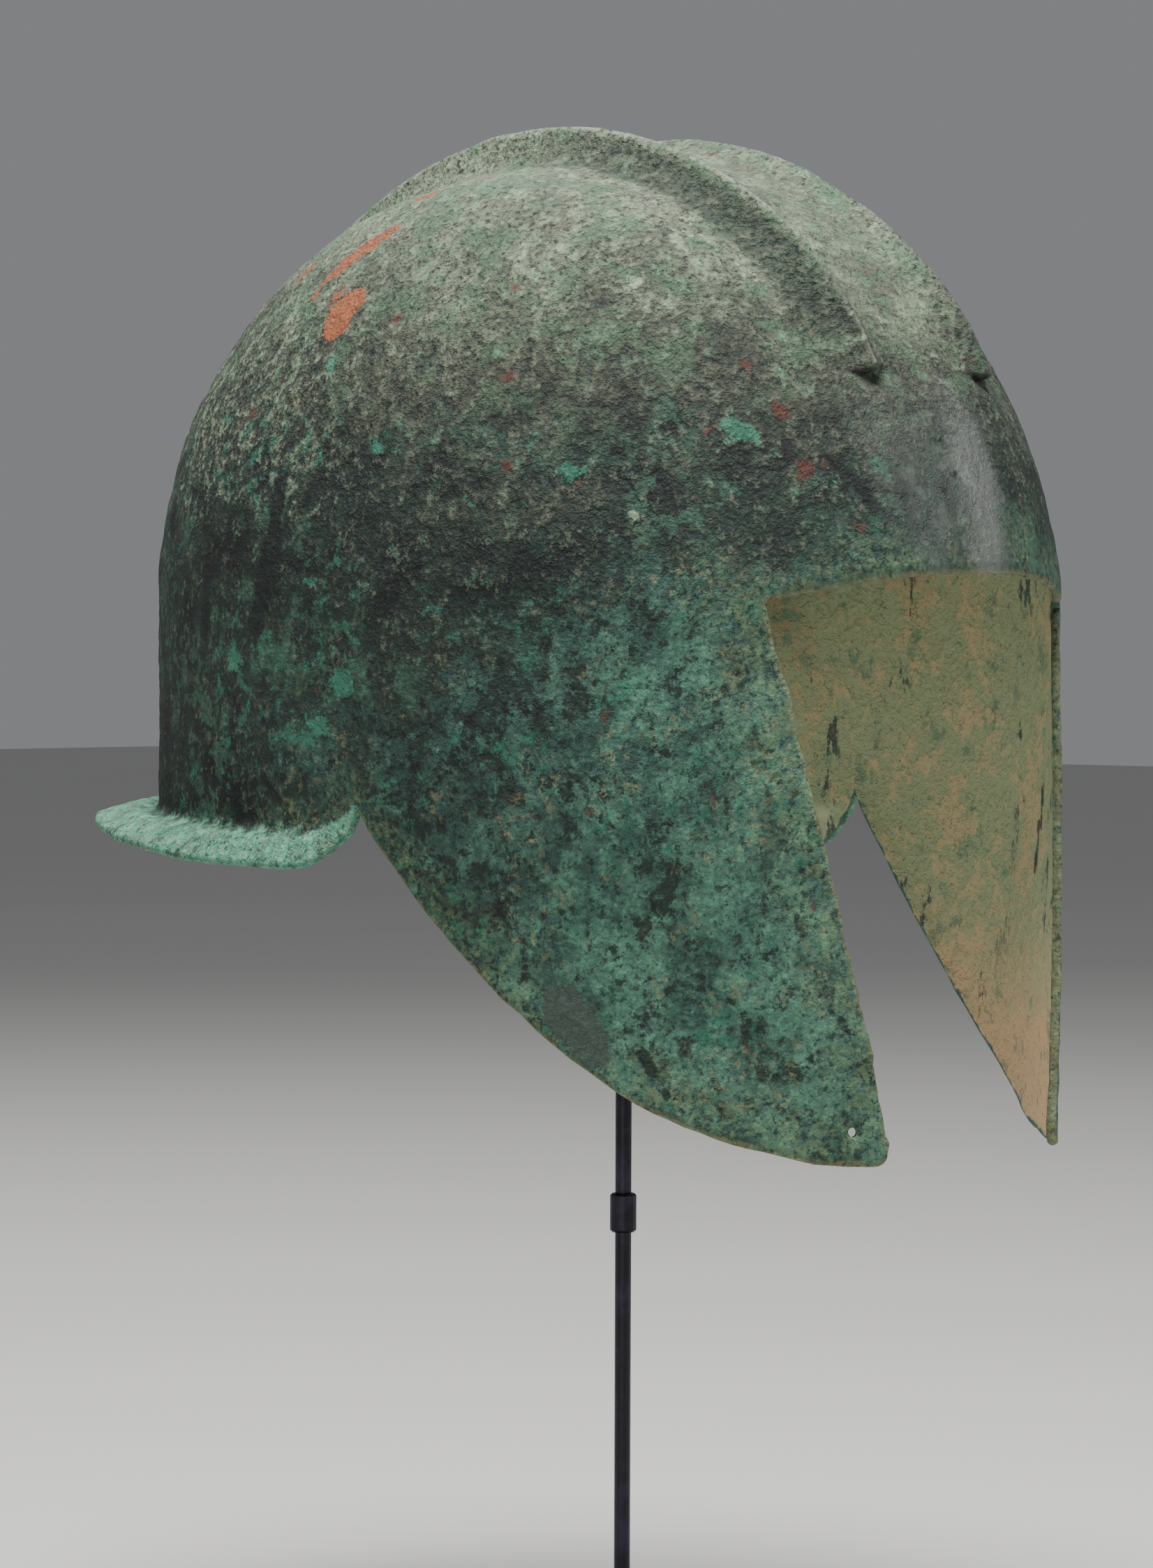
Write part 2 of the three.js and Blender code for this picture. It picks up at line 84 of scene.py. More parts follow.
def round_drop(distance: Array | float, radius: float) -> Array:
    """Return how far a quarter circle still lies under its top.

    Args:
        distance: Distance from where the quarter circle starts.
        radius: Its radius, in the same unit.

    Returns:
        The drop, from the radius at 0 to nothing at the radius.
    """
    share = np.clip(1.0 - np.asarray(distance) / radius, 0.0, 1.0)
    return radius * (1.0 - np.sqrt(1.0 - share * share))


def unit(vectors: Array) -> Array:
    """Return vectors at length one, along their last axis."""
    return vectors / np.linalg.norm(vectors, axis=-1, keepdims=True)


@dataclass(frozen=True)
class Stretch:
    """A run of evenly spaced stops that ends at a place."""

    end: float
    steps: int


def stops_of(stretches: Sequence[Stretch], place: Callable[[float], float]) -> Array:
    """Return every stop along stretches that follow one another from nothing.

    Args:
        stretches: The stretches in order.
        place: Turns a stretch's end into the unit of the stops.

    Returns:
        The stops as one array, with 0 first.
    """
    stops = [0.0]
    for stretch in stretches:
        stops.extend(np.linspace(stops[-1], place(stretch.end), stretch.steps + 1)[1:])
    return np.array(stops)


@dataclass(frozen=True)
class RidgeStop:
    """How the crest ridges stand at one place of their run.

    climb is in degrees over the crown from the brow, past 90 on the back. The rest are shares of the
    ridge's height, of the sink of channel and valleys, of the hollow under the prow, and of its
    overhang.
    """

    climb: float
    height: float
    sink: float
    scoop: float
    overhang: float


def between(run: Sequence[RidgeStop], column: str, climb: Array) -> Array:
    """Return one named column of the ridge's run between its stops, smoothly.

    Args:
        run: The stops in order of climb.
        column: The name of the column.
        climb: Where, in degrees.

    Returns:
        The column's value at every climb.
    """
    value = np.full(np.shape(climb), getattr(run[0], column), float)
    for before, after in zip(run[:-1], run[1:]):
        share = smooth((climb - before.climb) / (after.climb - before.climb))
        eased = blend(getattr(before, column), getattr(after, column), share)
        value = np.where(climb > before.climb, eased, value)
    return value


@dataclass(frozen=True)
class Sine:
    """One wave of an edge's slight raggedness, in millimetres."""

    length: float
    height: float
    phase: float


@dataclass
class Patch:
    """A grid of places on the sheet, with its outer and inner points and what is painted on them."""

    outer: Array
    inner: Array
    from_edge: Array
    crest: Array
    flange: Array | float = 0.0
    turned: bool = False


@dataclass
class Rim:
    """The sheet's edge along one side of a patch: outer, inner and the points one step further in."""

    outer: Array
    inner: Array
    behind: Array

    def outwards(self) -> Array:
        """Return the directions out of the edge, in the sheet."""
        away = self.outer - self.behind
        length = np.linalg.norm(away, axis=-1, keepdims=True)
        return np.where(length > TINY, away / np.maximum(length, TINY), 0.0)


@dataclass
class MeshStock:
    """Gathers points, faces and painted values until they are welded into one mesh."""

    points: list[Array] = field(default_factory=list)
    faces: list[Array] = field(default_factory=list)
    values: dict[str, list[Array]] = field(default_factory=dict)
    count: int = 0

    def add_grid(self, grid: Array, flip: bool, **values: Array) -> None:
        """Add a grid of points as quads.

        Args:
            grid: Points as rows, columns, 3.
            flip: Whether the faces are turned round.
            **values: Painted values, one for every point.
        """
        rows, columns = grid.shape[:2]
        index = self.count + np.arange(rows * columns).reshape(rows, columns)
        quads = [index[:-1, :-1], index[1:, :-1], index[1:, 1:], index[:-1, 1:]]
        cells = np.stack(quads, -1).reshape(-1, 4)
        self.points.append(grid.reshape(-1, 3))
        self.faces.append(cells[:, ::-1] if flip else cells)
        for name, value in values.items():
            self.values.setdefault(name, []).append(np.broadcast_to(value, (rows, columns)).reshape(-1))
        self.count += rows * columns

    def mesh(self, name: str, weld: float) -> bpy.types.Mesh:
        """Return everything as one mesh with shared points, in metres.

        Args:
            name: The mesh's name.
            weld: Points nearer than this, in millimetres, become one.

        Returns:
            The new mesh, smooth shaded.
        """
        mesh = bpy.data.meshes.new(name)
        points = np.concatenate(self.points) * MM
        mesh.from_pydata(points.tolist(), [], np.concatenate(self.faces).tolist())
        for label, parts in self.values.items():
            attribute = mesh.attributes.new(label, "FLOAT", "POINT")
            attribute.data.foreach_set("value", np.concatenate(parts).astype(np.float32))
        edit = bmesh.new()
        edit.from_mesh(mesh)
        bmesh.ops.remove_doubles(edit, verts=edit.verts, dist=weld * MM)
        edit.to_mesh(mesh)
        edit.free()
        mesh.validate()
        mesh.shade_smooth()
        return mesh


def new_piece(name: str, mesh: bpy.types.Mesh) -> bpy.types.Object:
    """Return a new object at the origin that holds a mesh, linked to the scene."""
    piece = bpy.data.objects.new(name, mesh)
    bpy.context.scene.collection.objects.link(piece)
    return piece


def baked_mesh(piece: bpy.types.Object, name: str) -> bpy.types.Mesh:
    """Return a piece's mesh with its modifiers worked in, and take the modifiers off.

    Args:
        piece: The object with its modifiers.
        name: The name of the new mesh.

    Returns:
        The plain mesh.
    """
    graph = bpy.context.evaluated_depsgraph_get()
    mesh = bpy.data.meshes.new_from_object(piece.evaluated_get(graph), depsgraph=graph)
    piece.modifiers.clear()
    mesh.name = name
    return mesh


# Nodes


class Nodes:
    """Adds nodes to one tree and links them."""

    def __init__(self, tree: bpy.types.NodeTree) -> None:
        """Keep the tree that the nodes go to."""
        self.tree = tree

    def add(self, kind: str, settings: dict[str, Any] | None = None,
            sockets: dict[Any, Any] | None = None) -> bpy.types.Node:
        """Add one node.

        Args:
            kind: The node's type.
            settings: The node's own settings, set first.
            sockets: Values or links for its inputs, by name or number.

        Returns:
            The new node.
        """
        node = self.tree.nodes.new(kind)
        for name, value in (settings or {}).items():
            setattr(node, name, value)
        for name, value in (sockets or {}).items():
            self.feed(node.inputs[name], value)
        return node

    def feed(self, socket: Socket, value: Any) -> None:
        """Link or set one input.

        Args:
            socket: The input.
            value: A Term, a socket, a Stain or a plain value.
        """
        if isinstance(value, Term):
            value = value.socket
        elif isinstance(value, Stain):
            value = value.value
        if isinstance(value, Socket):
            self.tree.links.new(value, socket)
        elif socket.type == "RGBA" and len(value) == 3:
            socket.default_value = (*value, 1.0)
        else:
            socket.default_value = value

    def term(self, socket: Socket) -> "Term":
        """Return a socket that can stand in expressions."""
        return Term(self, socket)


class Term:
    """A number on a socket that can be written in Python expressions."""

    def __init__(self, nodes: Nodes, socket: Socket) -> None:
        """Keep the socket and the tree that it belongs to."""
        self.nodes = nodes
        self.socket = socket

    def _math(self, operation: str, *operands: Any) -> "Term":
        """Return the result of a Math node on the operands."""
        sockets = dict(enumerate(operands))
        node = self.nodes.add("ShaderNodeMath", {"operation": operation}, sockets)
        return Term(self.nodes, node.outputs[0])

    def __add__(self, other: Any) -> "Term":
        """Return self + other."""
        return self._math("ADD", self, other)

    __radd__ = __add__

    def __sub__(self, other: Any) -> "Term":
        """Return self - other."""
        return self._math("SUBTRACT", self, other)

    def __rsub__(self, other: Any) -> "Term":
        """Return other - self."""
        return self._math("SUBTRACT", other, self)

    def __mul__(self, other: Any) -> "Term":
        """Return self * other."""
        return self._math("MULTIPLY", self, other)

    __rmul__ = __mul__

    def most(self, other: Any) -> "Term":
        """Return the larger of self and other."""
        return self._math("MAXIMUM", self, other)

    def least(self, other: Any) -> "Term":
        """Return the smaller of self and other."""
        return self._math("MINIMUM", self, other)

    def sway(self, reach: Any) -> "Term":
        """Return noise from 0 to 1 as a shift of half the reach either way."""
        return (self - 0.5) * reach

    def rise(self, low: float, high: float) -> "Term":
        """Return 0 under low, 1 over high and an eased share between; high may be the smaller.

        Args:
            low: Where the share is 0.
            high: Where the share is 1.

        Returns:
            The eased share.
        """
        turned = high < low
        ends = (high, low) if turned else (low, high)
        sockets = {"Value": self, "From Min": ends[0], "From Max": ends[1]}
        sockets |= {"To Min": float(turned), "To Max": float(not turned)}
        node = self.nodes.add("ShaderNodeMapRange", {"interpolation_type": "SMOOTHSTEP"}, sockets)
        return Term(self.nodes, node.outputs[0])


class Paint(Nodes):
    """A material's tree, with the place on the piece in millimetres."""

    def __init__(self, name: str) -> None:
        """Make an empty material with its output node.

        Args:
            name: The material's name.
        """
        self.material = bpy.data.materials.new(name)
        self.material.use_nodes = True
        super().__init__(self.material.node_tree)
        self.tree.nodes.clear()
        self.output = self.add("ShaderNodeOutputMaterial")
        place = self.add("ShaderNodeTexCoord").outputs["Object"]
        scaled = self.add("ShaderNodeVectorMath", {"operation": "SCALE"}, {0: place, "Scale": 1 / MM})
        self.place = scaled.outputs[0]
        apart = self.add("ShaderNodeSeparateXYZ", None, {0: self.place})
        self.x, self.y, self.z = (self.term(apart.outputs[i]) for i in range(3))

    @cached_property
    def off_middle(self) -> Term:
        """Return the distance off the middle plane, squared."""
        return self.x * self.x

    def noise(self, size: float, detail: float, rough: float, shift: float = 0.0,
              stretch: Point = (1.0, 1.0, 1.0)) -> Term:
        """Return cloudy noise from 0 to 1.

        Args:
            size: The size of its blotches, in millimetres.
            detail: How many finer layers it has.
            rough: How strong the finer layers are.
            shift: Moves it to another place of the pattern.
            stretch: Scale along x, y and z.

        Returns:
            The noise.
        """
        spot = {"Vector": self.place, "Location": (shift, shift * 0.7, -shift), "Scale": stretch}
        mapped = self.add("ShaderNodeMapping", None, spot).outputs[0]
        sockets = {"Vector": mapped, "Scale": 1 / size, "Detail": detail, "Roughness": rough}
        return self.term(self.add("ShaderNodeTexNoise", None, sockets).outputs[0])

    def cells(self, size: float, shift: float, detail: float = 0.0) -> tuple[Term, Term]:
        """Return the distance in a pattern of cells and a random number for each cell.

        Args:
            size: The size of a cell, in millimetres.
            shift: Moves it to another place of the pattern.
            detail: How many finer layers it has.

        Returns:
            The distance in shares of a cell, and the cell's number from 0 to 1.
        """
        spot = {"Vector": self.place, "Location": (shift, -shift, shift * 0.5)}
        mapped = self.add("ShaderNodeMapping", None, spot).outputs[0]
        sockets = {"Vector": mapped, "Scale": 1 / size, "Detail": detail}
        node = self.add("ShaderNodeTexVoronoi", None, sockets)
        apart = self.add("ShaderNodeSeparateColor", None, {0: node.outputs["Color"]})
        return self.term(node.outputs["Distance"]), self.term(apart.outputs[0])

    def painted(self, name: str) -> Term:
        """Return a value that is painted on the mesh."""
        return self.term(self.add("ShaderNodeAttribute", {"attribute_name": name}).outputs["Fac"])

    def mix(self, under: Any, over: Any, share: Any) -> Socket:
        """Return a colour over another by a share.

        Args:
            under: The colour that shows at 0.
            over: The colour that shows at 1.
            share: The share.

        Returns:
            The mixed colour's socket.
        """
        node = self.add("ShaderNodeMix", {"data_type": "RGBA"}, {0: share, 6: under, 7: over})
        return node.outputs[2]

    def coats(self, under: Any, *coats: tuple[Any, Any]) -> Socket:
        """Return a colour with coats of other colours over it, the last on top.

        Args:
            under: The colour that is covered.
            *coats: Each coat's colour and share.

        Returns:
            The last colour's socket.
        """
        for over, share in coats:
            under = self.mix(under, over, share)
        return under

    def bump(self, height: Term, depth: float, below: Any = None) -> Socket:
        """Return a normal bent by a height.

        Args:
            height: The height from 0 to 1.
            depth: How much 1 is, in millimetres.
            below: A normal that this one adds to.

        Returns:
            The normal's socket.
        """
        sockets = {"Height": height, "Distance": depth * MM, "Strength": 1.0}
        if below is not None:
            sockets["Normal"] = below
        return self.add("ShaderNodeBump", None, sockets).outputs[0]

    def surface(self, fixed: dict[str, Any], varied: dict[str, Any]) -> bpy.types.Material:
        """Finish the material with its shader.

        Args:
            fixed: Values that are the same all over.
            varied: Sockets that change over the surface.

        Returns:
            The material.
        """
        shader = self.add("ShaderNodeBsdfPrincipled", None, fixed | varied)
        self.feed(self.output.inputs["Surface"], shader.outputs[0])
        return self.material


# Finishes


class Stain(Enum):
    """The colours that corrosion and wear leave on old bronze; some also serve as painted shade and a
    painted highlight.
    """

    BLACK = (0.010, 0.013, 0.012)
    # Soot green: dark corrosion, and the painted shade on the ridges' outer flanks.
    SOOT_GREEN = (0.018, 0.03, 0.024)
    GREY_BROWN = (0.11, 0.116, 0.084)
    DUST = (0.062, 0.067, 0.048)
    PALE_GREEN = (0.25, 0.315, 0.205)
    MOSS = (0.09, 0.175, 0.1)
    DEEP_TEAL = (0.032, 0.078, 0.062)
    TEAL = (0.074, 0.168, 0.128)
    VERDIGRIS = (0.105, 0.262, 0.175)
    MINT = (0.11, 0.38, 0.25)
    BRIGHT_GREEN = (0.036, 0.175, 0.11)
    OLD_GREEN = (0.042, 0.105, 0.07)
    OCHRE = (0.30, 0.27, 0.13)
    LICHEN = (0.155, 0.215, 0.105)
    COPPER = (0.27, 0.082, 0.034)
    CUPRITE = (0.092, 0.03, 0.023)
    SLATE = (0.055, 0.078, 0.064)
    # Silver: rubbed metal on the crests, and the painted highlight on the forehead.
    SILVER = (0.3, 0.31, 0.295)
    WORN_GREY = (0.085, 0.092, 0.088)
    TAN = (0.72, 0.51, 0.29)
    SAGE = (0.40, 0.46, 0.27)
    # Umber: earth specks inside, and the painted shade deep in the hollow.
    UMBER = (0.075, 0.06, 0.035)
    BLUE_BLACK = (0.018, 0.045, 0.06)


@dataclass(frozen=True)
class Streak:
    """One patch or streak of stain at its place on the helmet, in millimetres."""

    start: Point
    end: Point
    radius: float

    def depth_at(self, points: Array) -> Array:
        """Return how deep points lie inside the streak, less than 0 outside it.

        Args:
            points: Places in millimetres.

        Returns:
            Millimetres.
        """
        start, end = np.array(self.start), np.array(self.end)
        along = end - start
        share = np.clip((points - start) @ along / max(float(along @ along), 1e-9), 0, 1)
        return self.radius - np.linalg.norm(points - start - share[:, None] * along, axis=1)


def spots(*places: tuple[float, float, float, float]) -> tuple[Streak, ...]:
    """Return round patches from their places and radii."""
    return tuple(Streak(place[:3], place[:3], place[3]) for place in places)


def trails(*paths: Sequence[tuple[float, ...]]) -> tuple[Streak, ...]:
    """Return streaks along paths of stops.

    Args:
        *paths: Each path's stops. A stop is a place and the radius as far as the next one.

    Returns:
        A streak between every two stops of a path.
    """
    return tuple(Streak(stop[:3], after[:3], stop[3])
                 for path in paths for stop, after in zip(path, path[1:]))


@dataclass(frozen=True)
class StainMap:
    """Every patch of one stain, painted on the mesh as millimetres inside the patches."""

    name: str
    stain: Stain
    streaks: tuple[Streak, ...]
    strength: float = 0.9
    ragged: float = 9.0
    border: float = 0.45
    reach: float = 12.0

    def paint(self, mesh: bpy.types.Mesh, points: Array) -> None:
        """Paint the patches on a mesh.

        Args:
            mesh: The mesh.
            points: Its points in millimetres.
        """
        depth = np.max([streak.depth_at(points) for streak in self.streaks], axis=0)
        attribute = mesh.attributes.new(self.name, "FLOAT", "POINT")
        attribute.data.foreach_set("value", np.clip(depth, -self.reach, self.reach).astype(np.float32))

    def share(self, paint: "Paint", noise: Term) -> Term:
        """Return where the stain shows.

        Args:
            paint: The material's tree.
            noise: Noise that eats at the borders.

        Returns:
            The share.
        """
        depth = paint.painted(self.name) + noise.sway(self.ragged)
        return depth.rise(-self.border, self.border) * self.strength


@dataclass(frozen=True)
class Grounds:
    """The noises that all of the outer patina's layers share, and three blends of the finer two."""

    broad: Term
    cloud: Term
    mottle: Term
    speck: Term
    dust: Term
    grain: Term
    even: Term

    @classmethod
    def of(cls, paint: Paint) -> "Grounds":
        """Return the noises of one material.

        Args:
            paint: The material's tree.

        Returns:
            The noises.
        """
        broad, cloud = paint.noise(58, 2, 0.5), paint.noise(15, 6, 0.68, 31)
        mottle, speck = paint.noise(4.4, 5, 0.72, 77), paint.noise(1.7, 3, 0.7, 11)
        return cls(broad, cloud, mottle, speck, speck * 0.55 + mottle * 0.45,
                   mottle * 0.6 + speck * 0.4, mottle * 0.5 + speck * 0.5)


@dataclass(frozen=True)
class OuterPatina:
    """The rough corroded face of the bronze, from pale grey-green on top to teal on the cheekpieces."""

    name: str = "patinated_bronze_outer"
    maps: tuple[StainMap, ...] = ()
    crest_side: float = 23.0
    roughness: float = 0.76
    polished: float = 0.34
    matt: float = 0.96

    def material(self) -> bpy.types.Material:
        """Return the finished material."""
        paint = Paint(self.name)
        noises = Grounds.of(paint)
        flakes, number = paint.cells(1.7, 40, 1.0)
        colour = self.crown_and_dome(paint, noises)
        colour = self.cheeks(paint, noises, colour)
        colour = self.neck(paint, noises, colour)
        colour = self.flecks(paint, noises, colour)
        high = paint.z.rise(280, 410) * 0.22 + 0.04
        worn = self.worn_crest(paint, noises)
        sheen = self.sheen(paint, noises)
        flat = sheen.most(worn)
        colour = paint.coats(
            colour,
            (Stain.BLACK, flakes.rise(0.45, 0.85) * 0.24),
            (Stain.PALE_GREEN, flakes.rise(0.3, 0.1) * number.rise(0.35, 0.8) * high),
            *((stains.stain, stains.share(paint, noises.mottle)) for stains in self.maps),
            # Worn grey on the forehead's smooth band; the silver inside it is a painted highlight,
            # while silver on the crests is rubbed wear.
            (Stain.WORN_GREY, sheen * 0.55),
            (Stain.SILVER, (self.painted_highlight_band(paint, noises) * sheen).most(worn) * 0.38),
        )
        rough = self.roughness + noises.speck.sway(0.6) + noises.mottle.sway(0.5) - flat * 0.36
        crust = noises.mottle.rise(0.42, 0.56) * 0.5 + noises.cloud.rise(0.42, 0.6) * 0.3
        grit = noises.speck * (1.0 - self.channel(paint) * 0.45)
        height = crust * 0.8 + (1.0 - flakes) * 0.3 + grit
        normal = paint.bump(height * (1.0 - flat * 0.7), 1.0)
        varied = {"Base Color": colour, "Roughness": rough.most(self.polished).least(self.matt),
                  "Metallic": flat * 0.5, "Normal": normal}
        return paint.surface({"Specular IOR Level": 0.24}, varied)

    def crown_and_dome(self, paint: Paint, noises: Grounds) -> Socket:
        """Return the black-green lower dome and the grey-green crown over it.

        Args:
            paint: The material's tree.
            noises: The shared noises.

        Returns:
            The colour's socket.
        """
        cloud, mottle, speck, dust = noises.cloud, noises.mottle, noises.speck, noises.dust
        height = paint.z + noises.broad.sway(90) + cloud.sway(90) + mottle.sway(40)
        zones = paint.noise(46, 2, 0.5, 220).rise(0.42, 0.56)
        green = paint.noise(8.5, 6, 0.72, 160).rise(0.49, 0.55) * zones
        dark = paint.coats(
            Stain.BLACK,
            (Stain.SOOT_GREEN, cloud.rise(0.4, 0.52)),
            (Stain.DUST, dust.rise(0.48, 0.62) * cloud.rise(0.4, 0.6) * 0.8),
            (Stain.OLD_GREEN, green * 0.85),
            (Stain.GREY_BROWN, speck.rise(0.53, 0.6) * mottle.rise(0.46, 0.56) * 0.7),
        )
        tint = paint.noise(13, 6, 0.7, 410)
        dusty = paint.coats(
            Stain.SOOT_GREEN,
            (Stain.DUST, dust.rise(0.4, 0.52)),
            (Stain.GREY_BROWN, dust.rise(0.52, 0.62) * 0.8),
            (Stain.MOSS, tint.rise(0.5, 0.6) * 0.4),
        )
        crown = paint.coats(
            Stain.GREY_BROWN,
            (Stain.PALE_GREEN, dust.rise(0.36, 0.66)),
            (Stain.MOSS, tint.rise(0.48, 0.58) * 0.7),
            (Stain.DUST, speck.rise(0.45, 0.36) * 0.45),
        )
        smooth_green = paint.coats(
            Stain.MOSS,
            (Stain.GREY_BROWN, mottle.rise(0.36, 0.52)),
            (Stain.PALE_GREEN, cloud.rise(0.42, 0.62) * 0.6),
        )
        # Painted shade: dark soot green with dust painted on the ridges' steep outer flanks, where
        # shadow falls.
        shade = paint.coats(Stain.SOOT_GREEN, (Stain.DUST, dust.rise(0.44, 0.58)))
        low_back = (height - paint.y * 0.3).rise(300, 330) * paint.z.rise(388, 362)
        crusted = paint.y.rise(-5, 35) * low_back
        return paint.coats(
            dark,
            (dusty, height.rise(326, 362)),
            (crown, height.rise(360, 410)),
            (Stain.PALE_GREEN, noises.grain.rise(0.51, 0.58) * crusted * 0.5),
            (Stain.BLACK, noises.grain.rise(0.48, 0.42) * crusted * 0.6),
            (smooth_green, self.channel(paint) * 0.85),
            (shade, self.outer_flank(paint) * paint.z.rise(358, 372) * 0.8),
        )

    def channel(self, paint: Paint) -> Term:
        """Return where the smooth channel between the crest ridges lies.

        Args:
            paint: The material's tree.

        Returns:
            The share.
        """
        inside = paint.off_middle.rise((self.crest_side - 2) ** 2, (self.crest_side - 8) ** 2)
        return inside * paint.z.rise(358, 378) * paint.y.rise(20, -30)

    def outer_flank(self, paint: Paint) -> Term:
        """Return where the ridges' outer flanks lie, which are darkened as painted shade.

        Args:
            paint: The material's tree.

        Returns:
            The share.
        """
        outside = paint.off_middle.rise((self.crest_side + 1) ** 2, (self.crest_side + 3) ** 2)
        within = paint.off_middle.rise((self.crest_side + 13) ** 2, (self.crest_side + 8) ** 2)
        return outside * within * paint.y.rise(30, -30)

    def cheeks(self, paint: Paint, noises: Grounds, colour: Socket) -> Socket:
        """Return the colour with the teal cheekpieces, black where the corrosion is thickest.

        Args:
            paint: The material's tree.
            noises: The shared noises.
            colour: The colour under them.

        Returns:
            The colour's socket.
        """
        cloud, mottle = noises.cloud, noises.mottle
        drift = noises.broad.sway(70) + cloud.sway(80) + mottle.sway(45)
        share = (paint.z + drift + paint.y * 0.35).rise(290, 258) * (paint.y - drift).rise(62, 22)
        forward = (0 - paint.y - paint.z * 0.45 + drift * 0.5).rise(-95, -15)
        bright = paint.coats(Stain.TEAL, (Stain.VERDIGRIS, noises.even.rise(0.42, 0.56)))
        soot = paint.noise(9.5, 6, 0.74, 140) - forward * 0.065
        black = paint.noise(5.2, 5, 0.74, 530) - forward * 0.065
        zones = paint.noise(24, 3, 0.6, 260).rise(0.5, 0.6)
        ochre = paint.noise(2.4, 4, 0.72, 210).rise(0.53, 0.6) * zones
        edge = paint.painted("from_edge")
        teal = paint.coats(
            Stain.DEEP_TEAL,
            (Stain.TEAL, noises.grain.rise(0.46, 0.6) * (forward * 0.3 + 0.36)),
            (bright, forward * cloud.rise(0.4, 0.6)),
            (Stain.SOOT_GREEN, (1.0 - forward) * noises.broad.rise(0.4, 0.6) * 0.35),
            (Stain.SOOT_GREEN, soot.rise(0.48, 0.54) * 0.9),
            (Stain.BLACK, black.rise(0.53, 0.58) * 0.85),
            (Stain.OCHRE, ochre * 0.45),
            (Stain.LICHEN, (edge + cloud.sway(40)).rise(24, 2) * noises.even.rise(0.44, 0.56) * 0.6),
            (Stain.OCHRE, (edge + mottle.sway(4)).rise(0.9, 0.2) * 0.45),
        )
        return paint.mix(colour, teal, share)

    def neck(self, paint: Paint, noises: Grounds, colour: Socket) -> Socket:
        """Return the colour with the bright mint neck guard.

        Args:
            paint: The material's tree.
            noises: The shared noises.
            colour: The colour under it.

        Returns:
            The colour's socket.
        """
        mint = paint.coats(
            Stain.VERDIGRIS,
            (Stain.MINT, (noises.cloud * 0.5 + noises.mottle * 0.5).rise(0.42, 0.55)),
            (Stain.PALE_GREEN, noises.speck.rise(0.46, 0.58) * 0.5),
            (Stain.SOOT_GREEN, noises.mottle.rise(0.44, 0.38) * 0.7),
        )
        share = (paint.painted("flange") + noises.mottle.sway(0.9)).rise(0.05, 0.4)
        return paint.mix(colour, mint, share)

    def flecks(self, paint: Paint, noises: Grounds, colour: Socket) -> Socket:
        """Return the colour with its small flecks of mint, cuprite red and black.

        Args:
            paint: The material's tree.
            noises: The shared noises.
            colour: The colour under the flecks.

        Returns:
            The colour's socket.
        """
        zones = paint.noise(30, 2, 0.5, 90).rise(0.48, 0.6)
        mint = paint.noise(5.0, 5, 0.75, 300).rise(0.54, 0.6) * zones
        low = (paint.z - paint.y * 0.5).rise(372, 335)
        near, number = paint.cells(9, 17)
        red = (near + noises.mottle.sway(0.9)).rise(0.15, 0.1) * number.rise(0.88, 0.9)
        return paint.coats(
            colour,
            (Stain.BRIGHT_GREEN, mint * low * 0.7),
            (Stain.CUPRITE, red * 0.65),
            (Stain.BLACK, noises.speck.rise(0.43, 0.37) * 0.6),
        )

    def worn_crest(self, paint: Paint, noises: Grounds) -> Term:
        """Return where the ridges' crests are rubbed bright.

        Args:
            paint: The material's tree.
            noises: The shared noises.

        Returns:
            The share of wear.
        """
        edge = paint.painted("crest") + noises.mottle.sway(1.1)
        return edge.rise(0.8, 1.02) * paint.y.rise(30, -20) * noises.cloud.rise(0.4, 0.56) * 0.75

    def sheen(self, paint: Paint, noises: Grounds) -> Term:
        """Return where the forehead is worn to a smooth, metallic grey; the painted highlight lies
        inside this band.

        Args:
            paint: The material's tree.
            noises: The shared noises.

        Returns:
            The share of wear.
        """
        side = paint.x + noises.cloud.sway(26) + noises.mottle.sway(18)
        band = side.rise(-42, -20) * side.rise(16, 6)
        low = (paint.z + noises.cloud.sway(50)).rise(298, 312) * paint.z.rise(362, 330)
        return band * low * paint.y.rise(-90, -104) * noises.mottle.rise(0.28, 0.46)

    def painted_highlight_band(self, paint: Paint, noises: Grounds) -> Term:
        """Return where the painted highlight lies: a bright silvery band painted inside the forehead's
        worn band.

        Args:
            paint: The material's tree.
            noises: The shared noises.

        Returns:
            The share.
        """
        side = paint.x + noises.cloud.sway(24) + noises.mottle.sway(10)
        return side.rise(-13, 1) * side.rise(14, 4)


